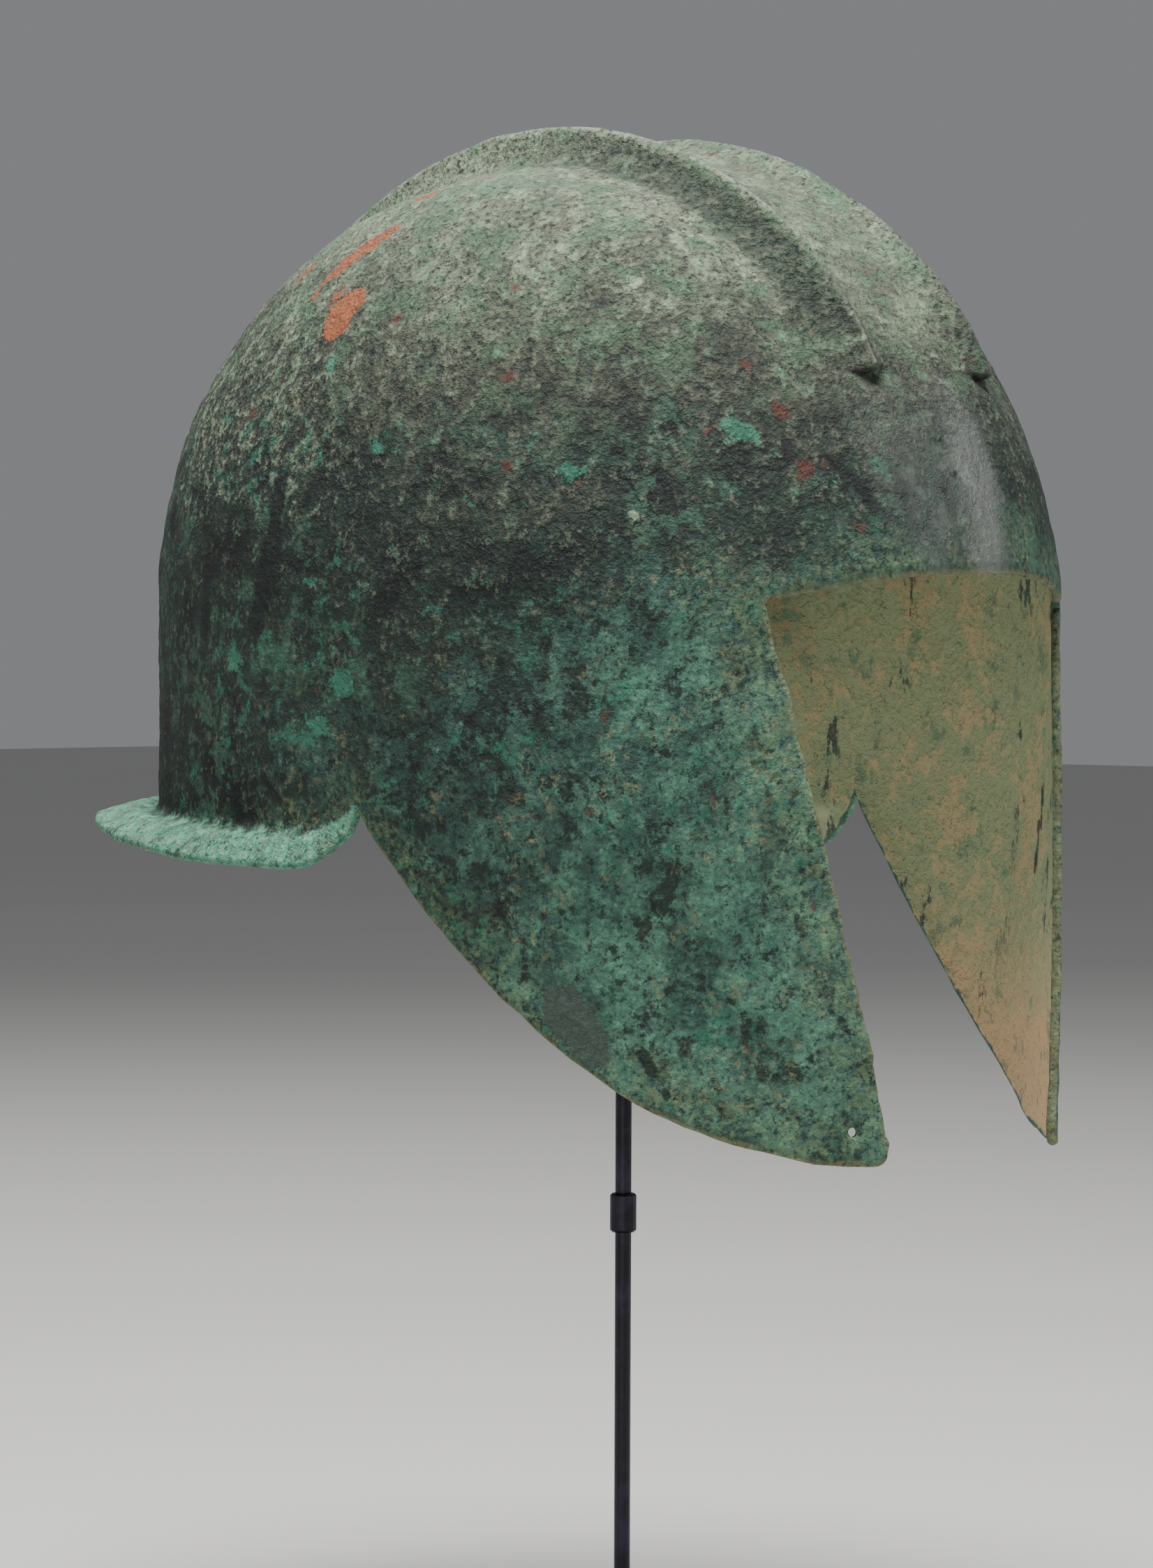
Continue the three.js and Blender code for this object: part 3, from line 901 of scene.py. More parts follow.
@dataclass(frozen=True)
class InnerPatina:
    """The hollow's lining of beige earth over green, with blue-black streaks and painted shade deep
    inside.
    """

    name: str = "patinated_bronze_inner"
    maps: tuple[StainMap, ...] = ()
    roughness: float = 0.8
    matt: float = 0.96

    def material(self) -> bpy.types.Material:
        """Return the finished material."""
        paint = Paint(self.name)
        broad = paint.noise(30, 5, 0.6, 3)
        mottle = paint.noise(5, 5, 0.7, 21)
        fine = paint.noise(1.6, 3, 0.72, 9)
        low = paint.z + broad.sway(130) + mottle.sway(60)
        streaks = paint.noise(10, 5, 0.72, 55, (1.0, 1.0, 0.4)).rise(0.57, 0.62)
        zones = paint.noise(45, 2, 0.5, 70).rise(0.48, 0.58)
        colour = paint.coats(
            Stain.TAN,
            (Stain.SAGE, low.rise(178, 218)),
            (Stain.TAN, (broad * 0.5 + mottle * 0.5).rise(0.5, 0.57) * 0.55),
            # Painted shade: umber darkens the lining higher up and further back in the hollow, where
            # the bowl shades it.
            (Stain.UMBER, (low + paint.y * 0.8).rise(270, 380) * 0.65),
            (Stain.BLUE_BLACK, streaks * zones * 0.8),
            (Stain.VERDIGRIS, paint.noise(9, 5, 0.72, 91).rise(0.56, 0.64) * 0.6),
            (Stain.UMBER, fine.rise(0.42, 0.32) * 0.45),
            *((stains.stain, stains.share(paint, mottle)) for stains in self.maps),
            (Stain.TEAL, (paint.painted("from_edge") + mottle.sway(5)).rise(1.3, 0.5)),
        )
        normal = paint.bump(mottle.rise(0.38, 0.62), 0.3)
        normal = paint.bump(fine, 0.4, normal)
        rough = (self.roughness + fine.sway(0.4)).least(self.matt)
        varied = {"Base Color": colour, "Roughness": rough, "Normal": normal}
        return paint.surface({"Specular IOR Level": 0.3}, varied)


@dataclass(frozen=True)
class BlackMetal:
    """Satin black metal with a faint violet sheen and a fine brushed grain."""

    name: str = "black_metal"
    colour: Colour = (0.010, 0.009, 0.016)
    rubbed: Colour = (0.042, 0.038, 0.07)
    roughness: float = 0.36

    def material(self) -> bpy.types.Material:
        """Return the finished material."""
        paint = Paint(self.name)
        cloud = paint.noise(9, 4, 0.6, 2)
        brushed = paint.noise(0.8, 3, 0.6, 8, (1.0, 1.0, 0.08))
        rub = cloud.rise(0.45, 0.7) * 0.5 + brushed.rise(0.6, 0.75) * 0.2
        rough = cloud.sway(0.25) + brushed.sway(0.15) + self.roughness
        normal = paint.bump(brushed, 0.03)
        fixed = {"Metallic": 0.55, "Specular IOR Level": 0.5}
        colour = paint.mix(self.colour, self.rubbed, rub)
        varied = {"Base Color": colour, "Roughness": rough, "Normal": normal}
        return paint.surface(fixed, varied)


@dataclass(frozen=True)
class BlackPaint:
    """Matt black paint with a faint orange-peel skin, a little greyer where it was touched."""

    name: str = "black_paint"
    colour: Colour = (0.014, 0.014, 0.015)
    touched: Colour = (0.04, 0.04, 0.042)
    roughness: float = 0.52

    def material(self) -> bpy.types.Material:
        """Return the finished material."""
        paint = Paint(self.name)
        cloud = paint.noise(32, 4, 0.6, 6)
        peel = paint.noise(1.1, 2, 0.5, 4)
        colour = paint.mix(self.colour, self.touched, cloud.rise(0.5, 0.75) * 0.6)
        rough = cloud.sway(0.2) + peel.sway(0.1) + self.roughness
        varied = {"Base Color": colour, "Roughness": rough, "Normal": paint.bump(peel, 0.03)}
        return paint.surface({}, varied)


@dataclass(frozen=True)
class PalePlaster:
    """The plain pale floor."""

    name: str = "pale_floor"
    colour: Colour = (0.6, 0.59, 0.57)
    worn: Colour = (0.56, 0.55, 0.53)

    def material(self) -> bpy.types.Material:
        """Return the finished material."""
        paint = Paint(self.name)
        cloud = paint.noise(600, 3, 0.5, 1)
        colour = paint.mix(self.colour, self.worn, cloud)
        return paint.surface({"Roughness": 0.9}, {"Base Color": colour})


# Corrosion as geometry


@dataclass(frozen=True)
class Corrosion:
    """How far corrosion and hammering stand off the smooth sheet, in metres, as a geometry tree."""

    dent_depth: float = 0.9 * MM
    dent_size: float = 42 * MM
    crust_height: float = 0.34 * MM
    crust_size: float = 9 * MM
    pit_depth: float = 0.3 * MM
    pit_size: float = 3.6 * MM
    seed: float = 4.0
    inner_from: float = 0.7

    @property
    def numbers(self) -> dict[str, float]:
        """Return the tree's number inputs by name."""
        return {"Dent Depth": self.dent_depth, "Dent Size": self.dent_size,
                "Crust Height": self.crust_height, "Crust Size": self.crust_size,
                "Pit Depth": self.pit_depth, "Pit Size": self.pit_size, "Seed": self.seed}

    def tree(self) -> bpy.types.NodeTree:
        """Return the tree with its named inputs."""
        tree = bpy.data.node_groups.new("corroded_sheet", "GeometryNodeTree")
        interface = tree.interface
        interface.new_socket("Geometry", in_out="INPUT", socket_type="NodeSocketGeometry")
        for name in self.numbers:
            interface.new_socket(name, in_out="INPUT", socket_type="NodeSocketFloat")
        for name in ("Outer Material", "Inner Material"):
            interface.new_socket(name, in_out="INPUT", socket_type="NodeSocketMaterial")
        interface.new_socket("Geometry", in_out="OUTPUT", socket_type="NodeSocketGeometry")
        nodes = Nodes(tree)
        given = nodes.add("NodeGroupInput").outputs
        inside = nodes.term(self._painted(nodes, "inside"))
        normal = nodes.add("GeometryNodeInputNormal").outputs[0]
        seed = given["Seed"]
        dent = self._noise(nodes, given["Dent Size"], seed, 2.0).sway(given["Dent Depth"])
        crust = self._noise(nodes, given["Crust Size"], seed, 4.0).rise(0.42, 0.62)
        pits = self._noise(nodes, given["Pit Size"], seed, 2.0).sway(given["Pit Depth"])
        raised = crust * given["Crust Height"] + pits
        height = dent * 2.0 * (1.0 - inside * 2.0) + raised * (1.0 - inside * 0.6)
        push = nodes.add("ShaderNodeVectorMath", {"operation": "SCALE"}, {0: normal, "Scale": height})
        moved = nodes.add("GeometryNodeSetPosition", None,
                          {"Geometry": given["Geometry"], "Offset": push.outputs[0]})
        real = nodes.add("GeometryNodeRealizeInstances", None, {0: moved.outputs[0]})
        outer = nodes.add("GeometryNodeSetMaterial", None,
                          {"Geometry": real.outputs[0], "Material": given["Outer Material"]})
        within = nodes.add("FunctionNodeCompare", {"data_type": "FLOAT", "operation": "GREATER_THAN"},
                           {0: inside, 1: self.inner_from})
        both = nodes.add("GeometryNodeSetMaterial", None,
                         {"Geometry": outer.outputs[0], "Selection": within.outputs[0],
                          "Material": given["Inner Material"]})
        nodes.add("NodeGroupOutput", None, {0: both.outputs[0]})
        return tree

    @staticmethod
    def _painted(nodes: Nodes, name: str) -> Socket:
        """Return a painted number's socket in a geometry tree."""
        node = nodes.add("GeometryNodeInputNamedAttribute", {"data_type": "FLOAT"}, {"Name": name})
        return node.outputs[0]

    @staticmethod
    def _noise(nodes: Nodes, size: Socket, seed: Socket, detail: float) -> Term:
        """Return noise of a size in a geometry tree.

        Args:
            nodes: The tree's nodes.
            size: The size's socket, in metres.
            seed: The seed's socket.
            detail: How many finer layers it has.

        Returns:
            The noise from 0 to 1.
        """
        place = nodes.add("GeometryNodeInputPosition").outputs[0]
        scale = nodes.add("ShaderNodeMath", {"operation": "DIVIDE"}, {0: 1.0, 1: size}).outputs[0]
        sockets = {"Vector": place, "W": seed, "Scale": scale, "Detail": detail, "Roughness": 0.6}
        node = nodes.add("ShaderNodeTexNoise", {"noise_dimensions": "4D"}, sockets)
        return nodes.term(node.outputs[0])

    def apply(self, piece: bpy.types.Object, outer: bpy.types.Material,
              inner: bpy.types.Material) -> None:
        """Put the corrosion on a piece and work it into its mesh.

        Args:
            piece: The sheet.
            outer: The material of its outer face and edges.
            inner: The material of its inner face.
        """
        modifier = piece.modifiers.new("corrosion", "NODES")
        modifier.node_group = self.tree()
        values = self.numbers | {"Outer Material": outer, "Inner Material": inner}
        for item in modifier.node_group.interface.items_tree:
            if item.in_out == "INPUT" and item.name in values:
                modifier[item.identifier] = values[item.name]
        piece.data = baked_mesh(piece, piece.name)


# The helmet


@dataclass
class BronzeSheet:
    """The helmet as one hammered sheet: bowl, crest ridges, cheekpieces and neck guard. Millimetres."""

    half_width: float = 106.0
    front_reach: float = 124.5
    back_reach: float = 135.5
    crown_rise: float = 125.0
    brow_height: float = 300.0
    plan_fullness: float = 2.12
    fullness_rise: float = 45.0
    wall: float = 1.5
    rim_wall: float = 2.2
    rim_band: float = 9.0
    ridge_side: float = 23.0
    ridge_height: float = 3.0
    ridge_spread: float = 2.0
    ridge_spread_climb: float = 60.0
    spread_start_climb: float = 10.0
    channel_sink: float = 5.5
    valley_sink: float = 5.0
    inner_flank: float = 11.5
    outer_flank: float = 10.5
    valley_width: float = 26.0
    ridge_front_climb: float = 30.0
    prow_overhang: float = 4.0
    scoop_depth: float = 3.5
    scoop_half_width: float = 7.0
    relief_inside: float = 0.85
    crest_round: float = 0.5
    crest_band: float = 3.2
    crest_full: float = 0.4
    prow_inside: float = 0.6
    corner_side: float = 64.0
    corner_round: float = 3.0
    brow_arch: float = 7.0
    brow_calm: float = 6.0
    tip_side: float = 35.0
    tip_forward: float = 118.0
    tip_depth: float = 142.0
    tip_round: float = 5.0
    cheek_flatten_depth: float = 40.0
    cheek_curl: float = 4.2
    cheek_lean: float = 6.5
    lean_start_depth: float = 40.0
    lean_full_depth: float = 115.0
    lean_full_share: float = 0.35
    notch_forward: float = 3.3
    notch_depth: float = 54.0
    lower_edge_curve: float = 1.76
    hole_radius: float = 1.35
    hole_from_tip_side: float = 9.5
    hole_over_tip: float = 8.0
    hole_sides: int = 24
    hole_pin_length: float = 18.0
    neck_root_side: float = 58.0
    neck_root_back: float = 53.0
    flange_side: float = 11.5
    flange_back: float = 22.0
    flange_droop_notch: float = 90.0
    flange_droop_side: float = 62.0
    flange_droop_back: float = 15.0
    flange_droop_settled: float = 0.7
    flange_round: float = 16.0
    flange_bend_share: float = 0.45
    flange_rows: int = 12
    wall_rows: int = 62
    rim_rows: int = 4
    rim_bulge: float = 0.28
    rag_fade: float = 9.0
    slope_step: float = 0.5
    length_rounds: int = 30
    fine_shares: tuple[float, ...] = (0.0, 0.002, 0.004, 0.007, 0.011, 0.016)
    rag: tuple[Sine, ...] = (
        Sine(41, 0.16, 0.4), Sine(17.3, 0.14, 1.9), Sine(8.1, 0.12, 4.4), Sine(4.9, 0.09, 2.7))
    brow_phase: float = 0.3
    front_phase: float = 1.0
    lower_phase: float = 3.0
    guard_phase: float = 5.0

    @property
    def ridge_run(self) -> tuple[RidgeStop, ...]:
        """Return how the ridges stand from their prow to the back."""
        front = self.ridge_front_climb
        return (
            RidgeStop(front - 12, 0.0, 0.0, 0.0, 0.0),
            RidgeStop(front - 6, 0.0, 0.3, 0.1, 0.0),
            RidgeStop(front - 1.5, 0.0, 0.65, 1.0, 0.0),
            RidgeStop(front, 0.4, 0.72, 0.0, 1.0),
            RidgeStop(front + 7, 0.75, 0.92, 0.0, 0.3),
            RidgeStop(60, 0.6, 1.0, 0.0, 0.0),
            RidgeStop(95, 1.1, 1.0, 0.0, 0.0),
            RidgeStop(125, 0.5, 0.8, 0.0, 0.0),
            RidgeStop(160, 0.3, 0.25, 0.0, 0.0),
            RidgeStop(178, 0.0, 0.0, 0.0, 0.0),
        )

    @property
    def bowl_rows(self) -> tuple[Stretch, ...]:
        """Return the rows of the bowl from the brow over the crown, ends in degrees of climb."""
        front = self.ridge_front_climb
        return (Stretch(front - 12, 14), Stretch(front - 6, 5), Stretch(front - 1.5, 6),
                Stretch(front, 5), Stretch(front + 7, 7), Stretch(60, 17), Stretch(120, 50),
                Stretch(180, 50))

    @property
    def bowl_columns(self) -> tuple[Stretch, ...]:
        """Return the columns of the bowl from the middle to the ear, ends in millimetres."""
        corner = self.corner_side - self.corner_round
        return (Stretch(self.ridge_side - self.inner_flank, 6), Stretch(self.ridge_side, 9),
                Stretch(self.ridge_side + self.outer_flank, 9), Stretch(corner, 12),
                Stretch(corner + self.tip_round, 6), Stretch(self.half_width - 1, 26),
                Stretch(self.half_width, 7))

    def full_reach(self, side: Array) -> Array:
        """Return the share of the reach at a side, a little fuller than an ellipse."""
        share = np.clip(np.asarray(side, float) / self.half_width, 0, 1)
        return (1 - share ** self.plan_fullness) ** (1 / self.plan_fullness)

    def angle_of(self, side: Array) -> Array:
        """Return the angle round the plan at a side."""
        return np.arcsin(np.clip(np.asarray(side, float) / self.half_width, 0, 1))

    def reach_of(self, angle: Array) -> Array:
        """Return the reach to the front or to the back."""
        return np.where(np.cos(angle) >= 0, self.front_reach, self.back_reach)

    @property
    def cheek_slope(self) -> float:
        """Return how fast the wall runs forward at the brow's corner, along its tangent."""
        before = self.full_reach(self.corner_side - self.slope_step)
        after = self.full_reach(self.corner_side + self.slope_step)
        return float(self.front_reach * (before - after) / (2 * self.slope_step))

    def wall_forward(self, side: Array, depth: Array) -> Array:
        """Return how far forward the wall is at a side, straight on past the brow's corner.

        Args:
            side: Millimetres off the middle.
            depth: Millimetres under the brow.

        Returns:
            Millimetres forward.
        """
        oval = self.front_reach * self.full_reach(side)
        corner = self.front_reach * self.full_reach(self.corner_side)
        curl = self.cheek_curl * ((self.corner_side - side) / (self.corner_side - self.tip_side)) ** 3
        straight = corner + (self.corner_side - side) * self.cheek_slope - curl
        flat = blend(oval, straight, smooth(depth / self.cheek_flatten_depth))
        return np.where(side >= self.corner_side, oval, flat)

    def wall_frame(self, angle: Array, depth: Array, share: Array) -> tuple[Array, Array]:
        """Return places on the wall under the brow.

        Args:
            angle: Angle round the plan, 0 in front.
            depth: Millimetres under the brow.
            share: 0 at a cheekpiece's front edge, 1 at the ear.

        Returns:
            The points and the outward directions.
        """
        angle, depth, share = np.broadcast_arrays(angle, depth, share)
        side = self.half_width * np.sin(angle)
        reach = self.reach_of(angle)
        front = np.cos(angle) > 0
        forward = np.where(front, self.wall_forward(side, depth), reach * np.cos(angle))
        level = np.zeros_like(side)
        outward = unit(np.stack([side / self.half_width ** 2, -forward / reach ** 2, level], -1))
        step = self.slope_step
        slope = self.wall_forward(side + step, depth) - self.wall_forward(side - step, depth)
        lean = self.wall_forward(side, depth + step) - self.wall_forward(side, depth - step)
        flat = unit(np.stack([-slope, np.full_like(side, -2 * step), lean], -1))
        settled = smooth(depth / self.cheek_flatten_depth)
        flatter = np.where(front & (side < self.corner_side), settled, 0.0)
        outward = unit(blend(outward, flat, flatter[..., None]))
        deep = smooth((depth - self.lean_start_depth) / (self.lean_full_depth - self.lean_start_depth))
        lean_in = self.cheek_lean * deep * smooth(share / self.lean_full_share)
        point = np.stack([side, -forward, self.brow_height - depth], -1) - outward * lean_in[..., None]
        return point, outward

    def ragged(self, along: Array, phase: float) -> Array:
        """Return how far an edge wanders from its smooth line.

        Args:
            along: Millimetres along the edge.
            phase: Sets this edge apart from the others.

        Returns:
            Millimetres.
        """
        waves = enumerate(self.rag, 1)
        return sum(wave.height * np.sin(along * 2 * math.pi / wave.length + wave.phase + phase * i)
                   for i, wave in waves)

    def brow_rise(self, side: Array, hand: int) -> Array:
        """Return how far the brow's edge is arched over its corners.

        Args:
            side: Millimetres off the middle.
            hand: 1 for the wearer's left, -1 for the right.

        Returns:
            Millimetres over the corners.
        """
        share = np.clip(side / (self.corner_side - self.corner_round), 0, 1)
        calm = smooth((1 - share) * self.brow_calm)
        return self.brow_arch * (1 - share ** 2) + self.ragged(side * hand, self.brow_phase) * calm

    def front_edge_side(self, depth: Array, hand: int) -> Array:
        """Return a cheekpiece's front edge, in millimetres off the middle.

        Args:
            depth: Millimetres under the brow.
            hand: 1 for the wearer's left, -1 for the right.

        Returns:
            Millimetres off the middle.
        """
        depth = np.asarray(depth, float)
        straight = self.corner_side - (self.corner_side - self.tip_side) * depth / self.tip_depth
        calm = smooth(depth / self.rag_fade) * smooth((self.tip_depth - depth) / self.rag_fade)
        rag = self.ragged(depth, self.front_phase + hand) * calm
        return straight - round_drop(depth, self.corner_round) + rag

    def lower_edge_depth(self, forward: Array, from_front: Array, hand: int) -> Array:
        """Return the lower edge of a cheekpiece, in millimetres under the brow.

        Args:
            forward: Millimetres forward.
            from_front: Millimetres from the front edge.
            hand: 1 for the wearer's left, -1 for the right.

        Returns:
            Millimetres under the brow.
        """
        share = np.clip((self.tip_forward - forward) / (self.tip_forward - self.notch_forward), 0, 1)
        curve = self.tip_depth - (self.tip_depth - self.notch_depth) * share ** self.lower_edge_curve
        from_notch = forward - self.notch_forward
        calm = smooth(from_front / self.rag_fade) * smooth(from_notch / self.rag_fade)
        rag = self.ragged(forward, self.lower_phase + hand) * calm
        return curve - round_drop(from_front, self.tip_round) + rag

    def from_brow(self, side: Array, rise: Array, hand: int) -> Array:
        """Return how far a place on the bowl's front lies from the brow's edge or its corner."""
        past = side - self.corner_side + self.corner_round
        round_corner = np.hypot(past * math.hypot(1, self.cheek_slope), rise)
        return np.where(past < 0, rise - self.brow_rise(side, hand), round_corner)

    def patch(self, point: Array, outward: Array, from_edge: Array, relief: Array | float = 0.0,
              crest: Array | float = 0.0, inner_shift: Array | float = 0.0) -> Patch:
        """Return a patch of the sheet with its thickness.

        Args:
            point: Places on the smooth bowl or wall.
            outward: Directions out of the sheet.
            from_edge: Millimetres from the nearest edge, for the thicker rim.
            relief: How far ridges and hollows stand over the smooth shape.
            crest: 1 on a ridge's crest.
            inner_shift: How the inner face is moved along the sheet, under the prows.

        Returns:
            The patch.
        """
        shape = point.shape[:-1]
        relief = np.broadcast_to(relief, shape)[..., None]
        from_edge = np.broadcast_to(from_edge, shape)
        thick = blend(self.rim_wall, self.wall, smooth(from_edge / self.rim_band))[..., None]
        outer = point + outward * relief
        inner = point + outward * (relief * self.relief_inside - thick) + inner_shift
        return Patch(outer, inner, from_edge, np.broadcast_to(crest, shape))

    def relief(self, off_crest: Array, climb: Array) -> Array:
        """Return how far ridges, channel and valleys stand over the bowl.

        Args:
            off_crest: Millimetres off a crest, less than 0 in the channel.
            climb: Degrees over the crown from the brow.

        Returns:
            Millimetres.
        """
        run = self.ridge_run
        height = self.ridge_height * between(run, "height", climb)
        sink = between(run, "sink", climb)
        scoop = self.scoop_depth * between(run, "scoop", climb)
        away = np.hypot(off_crest, self.crest_round) - self.crest_round
        scooped = scoop * np.clip(1 - away / self.scoop_half_width, 0, 1) ** 2
        flank = np.where(off_crest < 0, self.inner_flank, self.outer_flank)
        floor = np.where(off_crest < 0, self.channel_sink, self.valley_sink) * sink
        on_flank = np.clip(1 - away / flank, 0, 1) ** 2
        fade = 1 - smooth((off_crest - self.outer_flank) / self.valley_width)
        return height * on_flank - floor * (1 - on_flank) * fade - scooped

    def bowl(self, climbs: Array, angles: Array, hand: int) -> Patch:
        """Return the bowl from the brow over the crown to the back, one half.

        Args:
            climbs: Rows, in degrees.
            angles: Columns, as angles round the plan.
            hand: 1 for the wearer's left, -1 for the right.

        Returns:
            The patch.
        """
        climb = climbs[:, None]
        station = self.half_width * np.sin(angles)[None, :]
        near_crest = smooth(1 - np.abs(station - self.ridge_side) / self.ridge_side)
        near_front = 1 - smooth(climb / self.ridge_spread_climb)
        spread = self.ridge_spread * near_crest * near_front * smooth(climb / self.spread_start_climb)
        side = station + spread
        across = np.cos(self.angle_of(side))
        lift = np.clip(1 - climb / self.bowl_rows[0].end, 0, 1)
        arch = np.arcsin(np.clip(self.brow_rise(side, hand) / (self.crown_rise * across), 0, 1))
        turn = climb * DEGREE + lift * arch
        reach = self.reach_of(turn)
        rise = self.crown_rise * across * np.sin(turn)
        full = np.where(np.cos(turn) > 0, smooth(1 - rise / self.fullness_rise), 0.0)
        forward = reach * blend(across, self.full_reach(side), full) * np.cos(turn)
        normal = [side / self.half_width ** 2, -forward / reach ** 2, rise / self.crown_rise ** 2]
        outward = unit(np.stack(normal, -1))
        point = np.stack([side, -forward, self.brow_height + rise], -1)
        near = np.clip(1 - np.abs(station - self.ridge_side) / self.scoop_half_width, 0, 1)
        slide = self.prow_overhang * near * between(self.ridge_run, "overhang", climb)
        level = np.zeros_like(turn)
        overhang = np.stack([level, -np.sin(turn), -np.cos(turn)], -1) * slide[..., None]
        point = point + overhang
        from_edge = np.where(turn < QUARTER, self.from_brow(side, rise, hand), self.rim_band)
        stand = between(self.ridge_run, "height", climb)
        on_crest = np.clip(1 - np.abs(station - self.ridge_side) / self.crest_band, 0, 1)
        crest = on_crest * smooth(stand / self.crest_full)
        relief = self.relief(station - self.ridge_side, climb + 0 * station)
        made = self.patch(point, outward, from_edge, relief, crest, overhang * -self.prow_inside)
        made.turned = True
        return made

    def cheek(self, angles: Array, shares: Array, hand: int) -> Patch:
        """Return a cheekpiece, whose columns lean forward with its front edge.

        Args:
            angles: Columns, as angles at the brow's height.
            shares: Rows, as shares of each column's depth.
            hand: 1 for the wearer's left, -1 for the right.

        Returns:
            The patch.
        """
        first = self.angle_of(self.front_edge_side(0.0, hand))
        to_ear = np.clip((angles - first) / (QUARTER - first), 0, 1)
        notch_lean = math.asin(self.notch_forward / self.front_reach)

        def angle_at(depth: Array) -> Array:
            """Return each column's angle at a depth."""
            front_lean = first - self.angle_of(self.front_edge_side(depth, hand))
            return angles - (1 - to_ear) * front_lean - to_ear * notch_lean * depth / self.notch_depth

        def along_wall(depth: Array) -> Array:
            """Return how far each column is from the front edge at a depth."""
            side = self.half_width * np.sin(angle_at(depth)) - self.front_edge_side(depth, hand)
            return np.maximum(0, side) * math.hypot(1, self.cheek_slope)

        length = np.full(angles.shape, self.tip_depth)
        for _ in range(self.length_rounds):
            point, _outward = self.wall_frame(angle_at(length), length, to_ear)
            length = self.lower_edge_depth(-point[..., 1], along_wall(length), hand)
        length = np.where(to_ear >= 1, self.notch_depth, length)
        depth = shares[:, None] * length[None, :]
        point, outward = self.wall_frame(angle_at(depth), depth, to_ear[None, :])
        return self.patch(point, outward, np.minimum(along_wall(depth), length - depth))

    def neck(self, angles: Array, shares: Array, hand: int) -> Patch:
        """Return the wall behind the notch, bent out at its root into the neck guard.

        Args:
            angles: Columns, as angles round the plan from the ear to the back.
            shares: Rows of the wall, as shares of its depth.
            hand: 1 for the wearer's left, -1 for the right.

        Returns:
            The patch.
        """
        to_back = (angles - QUARTER) / (QUARTER)
        notch_lean = math.asin(self.notch_forward / self.front_reach) * (1 - to_back)
        upright = 1 - np.clip(to_back / self.lean_full_share, 0, 1)
        from_notch = to_back * math.pi * (self.half_width + self.back_reach) / 4
        settle = smooth(from_notch / self.flange_round)
        side_root = blend(self.notch_depth, self.neck_root_side, settle)
        root = blend(side_root, self.neck_root_back, smooth(to_back))
        full = blend(self.flange_side, self.flange_back, to_back)
        width = full * (1 - round_drop(from_notch, self.flange_round) / self.flange_round)
        edge_side = self.half_width * np.sin(angles) * hand
        width = width + self.ragged(edge_side, self.guard_phase) * settle
        side_droop = blend(self.flange_droop_notch, self.flange_droop_side, settle)
        at_back = smooth(to_back / self.flange_droop_settled)
        droop = blend(side_droop, self.flange_droop_back, at_back) * DEGREE
        depth = shares[:, None] * root[None, :]
        lean = notch_lean * depth / self.notch_depth
        point, outward = self.wall_frame(angles - lean, depth, upright[None, :])
        base, face = point[-1], outward[-1]
        reach_share = (np.arange(1, self.flange_rows + 1) / self.flange_rows)[:, None]
        bent = droop + (QUARTER - droop) * (1 - smooth(reach_share / self.flange_bend_share))
        reach = width * reach_share
        up = np.array([0.0, 0.0, 1.0])
        cos, sin = np.cos(bent)[..., None], np.sin(bent)[..., None]
        flange = base + face * cos * reach[..., None] - up * sin * reach[..., None]
        flange_face = face * sin + up * cos
        points = np.concatenate([point, flange])
        faces = np.concatenate([outward, flange_face])
        from_edge = np.concatenate([root - depth + width, width - reach])
        made = self.patch(points, faces, from_edge)
        made.flange = np.concatenate([0.0 * depth, 0.0 * reach + reach_share])
        return made

    def rim_grid(self, rim: Rim, out: Array) -> tuple[Array, Array]:
        """Return the rounded edge between the sheet's two faces.

        Args:
            rim: The edge's lines.
            out: The directions in which it is rounded.

        Returns:
            The points, and for each the share that it is on the inner side.
        """
        share = np.linspace(0, 1, self.rim_rows + 1)[:, None, None]
        thick = np.linalg.norm(rim.outer - rim.inner, axis=-1, keepdims=True)
        bulge = self.rim_bulge * thick * np.sin(share * math.pi)
        return blend(rim.outer, rim.inner, share) + out * bulge, share[..., 0]

    def add_half(self, stock: MeshStock, hand: int) -> None:
        """Add one half of the helmet.

        Args:
            stock: What the points and faces go to.
            hand: 1 for the wearer's left, -1 for the right.
        """
        climbs = stops_of(self.bowl_rows, lambda end: end)
        angles = stops_of(self.bowl_columns, lambda end: float(self.angle_of(end)))
        corner = self.corner_side - self.corner_round
        cheek_angles = angles[angles >= self.angle_of(corner) - TINY]
        even = np.arange(1, self.wall_rows + 1) / self.wall_rows
        shares = np.array([*self.fine_shares, *even])
        bowl = self.bowl(climbs, angles, hand)
        cheek = self.cheek(cheek_angles, shares, hand)
        neck = self.neck(math.pi - angles[::-1], shares, hand)
        mirror = np.array([hand, 1.0, 1.0])
        for patch in (bowl, cheek, neck):
            flip = patch.turned != (hand < 0)
            common = {"from_edge": patch.from_edge, "crest": patch.crest, "flange": patch.flange}
            stock.add_grid(patch.outer * mirror, flip, inside=0.0, **common)
            stock.add_grid(patch.inner * mirror, not flip, inside=1.0, **common)
        last = len(angles) - len(cheek_angles) + 1
        rims = [
            Rim(bowl.outer[0, :last], bowl.inner[0, :last], bowl.outer[1, :last]),
            Rim(cheek.outer[:, 0], cheek.inner[:, 0], cheek.outer[:, 1]),
            Rim(cheek.outer[-1], cheek.inner[-1], cheek.outer[-2]),
            Rim(neck.outer[-1], neck.inner[-1], neck.outer[-2]),
        ]
        outs = [rim.outwards() for rim in rims]
        for before, after in zip(outs[:-1], outs[1:]):
            before[-1] = after[0] = unit(before[-1] + after[0])
        for rim, out in zip(rims, outs):
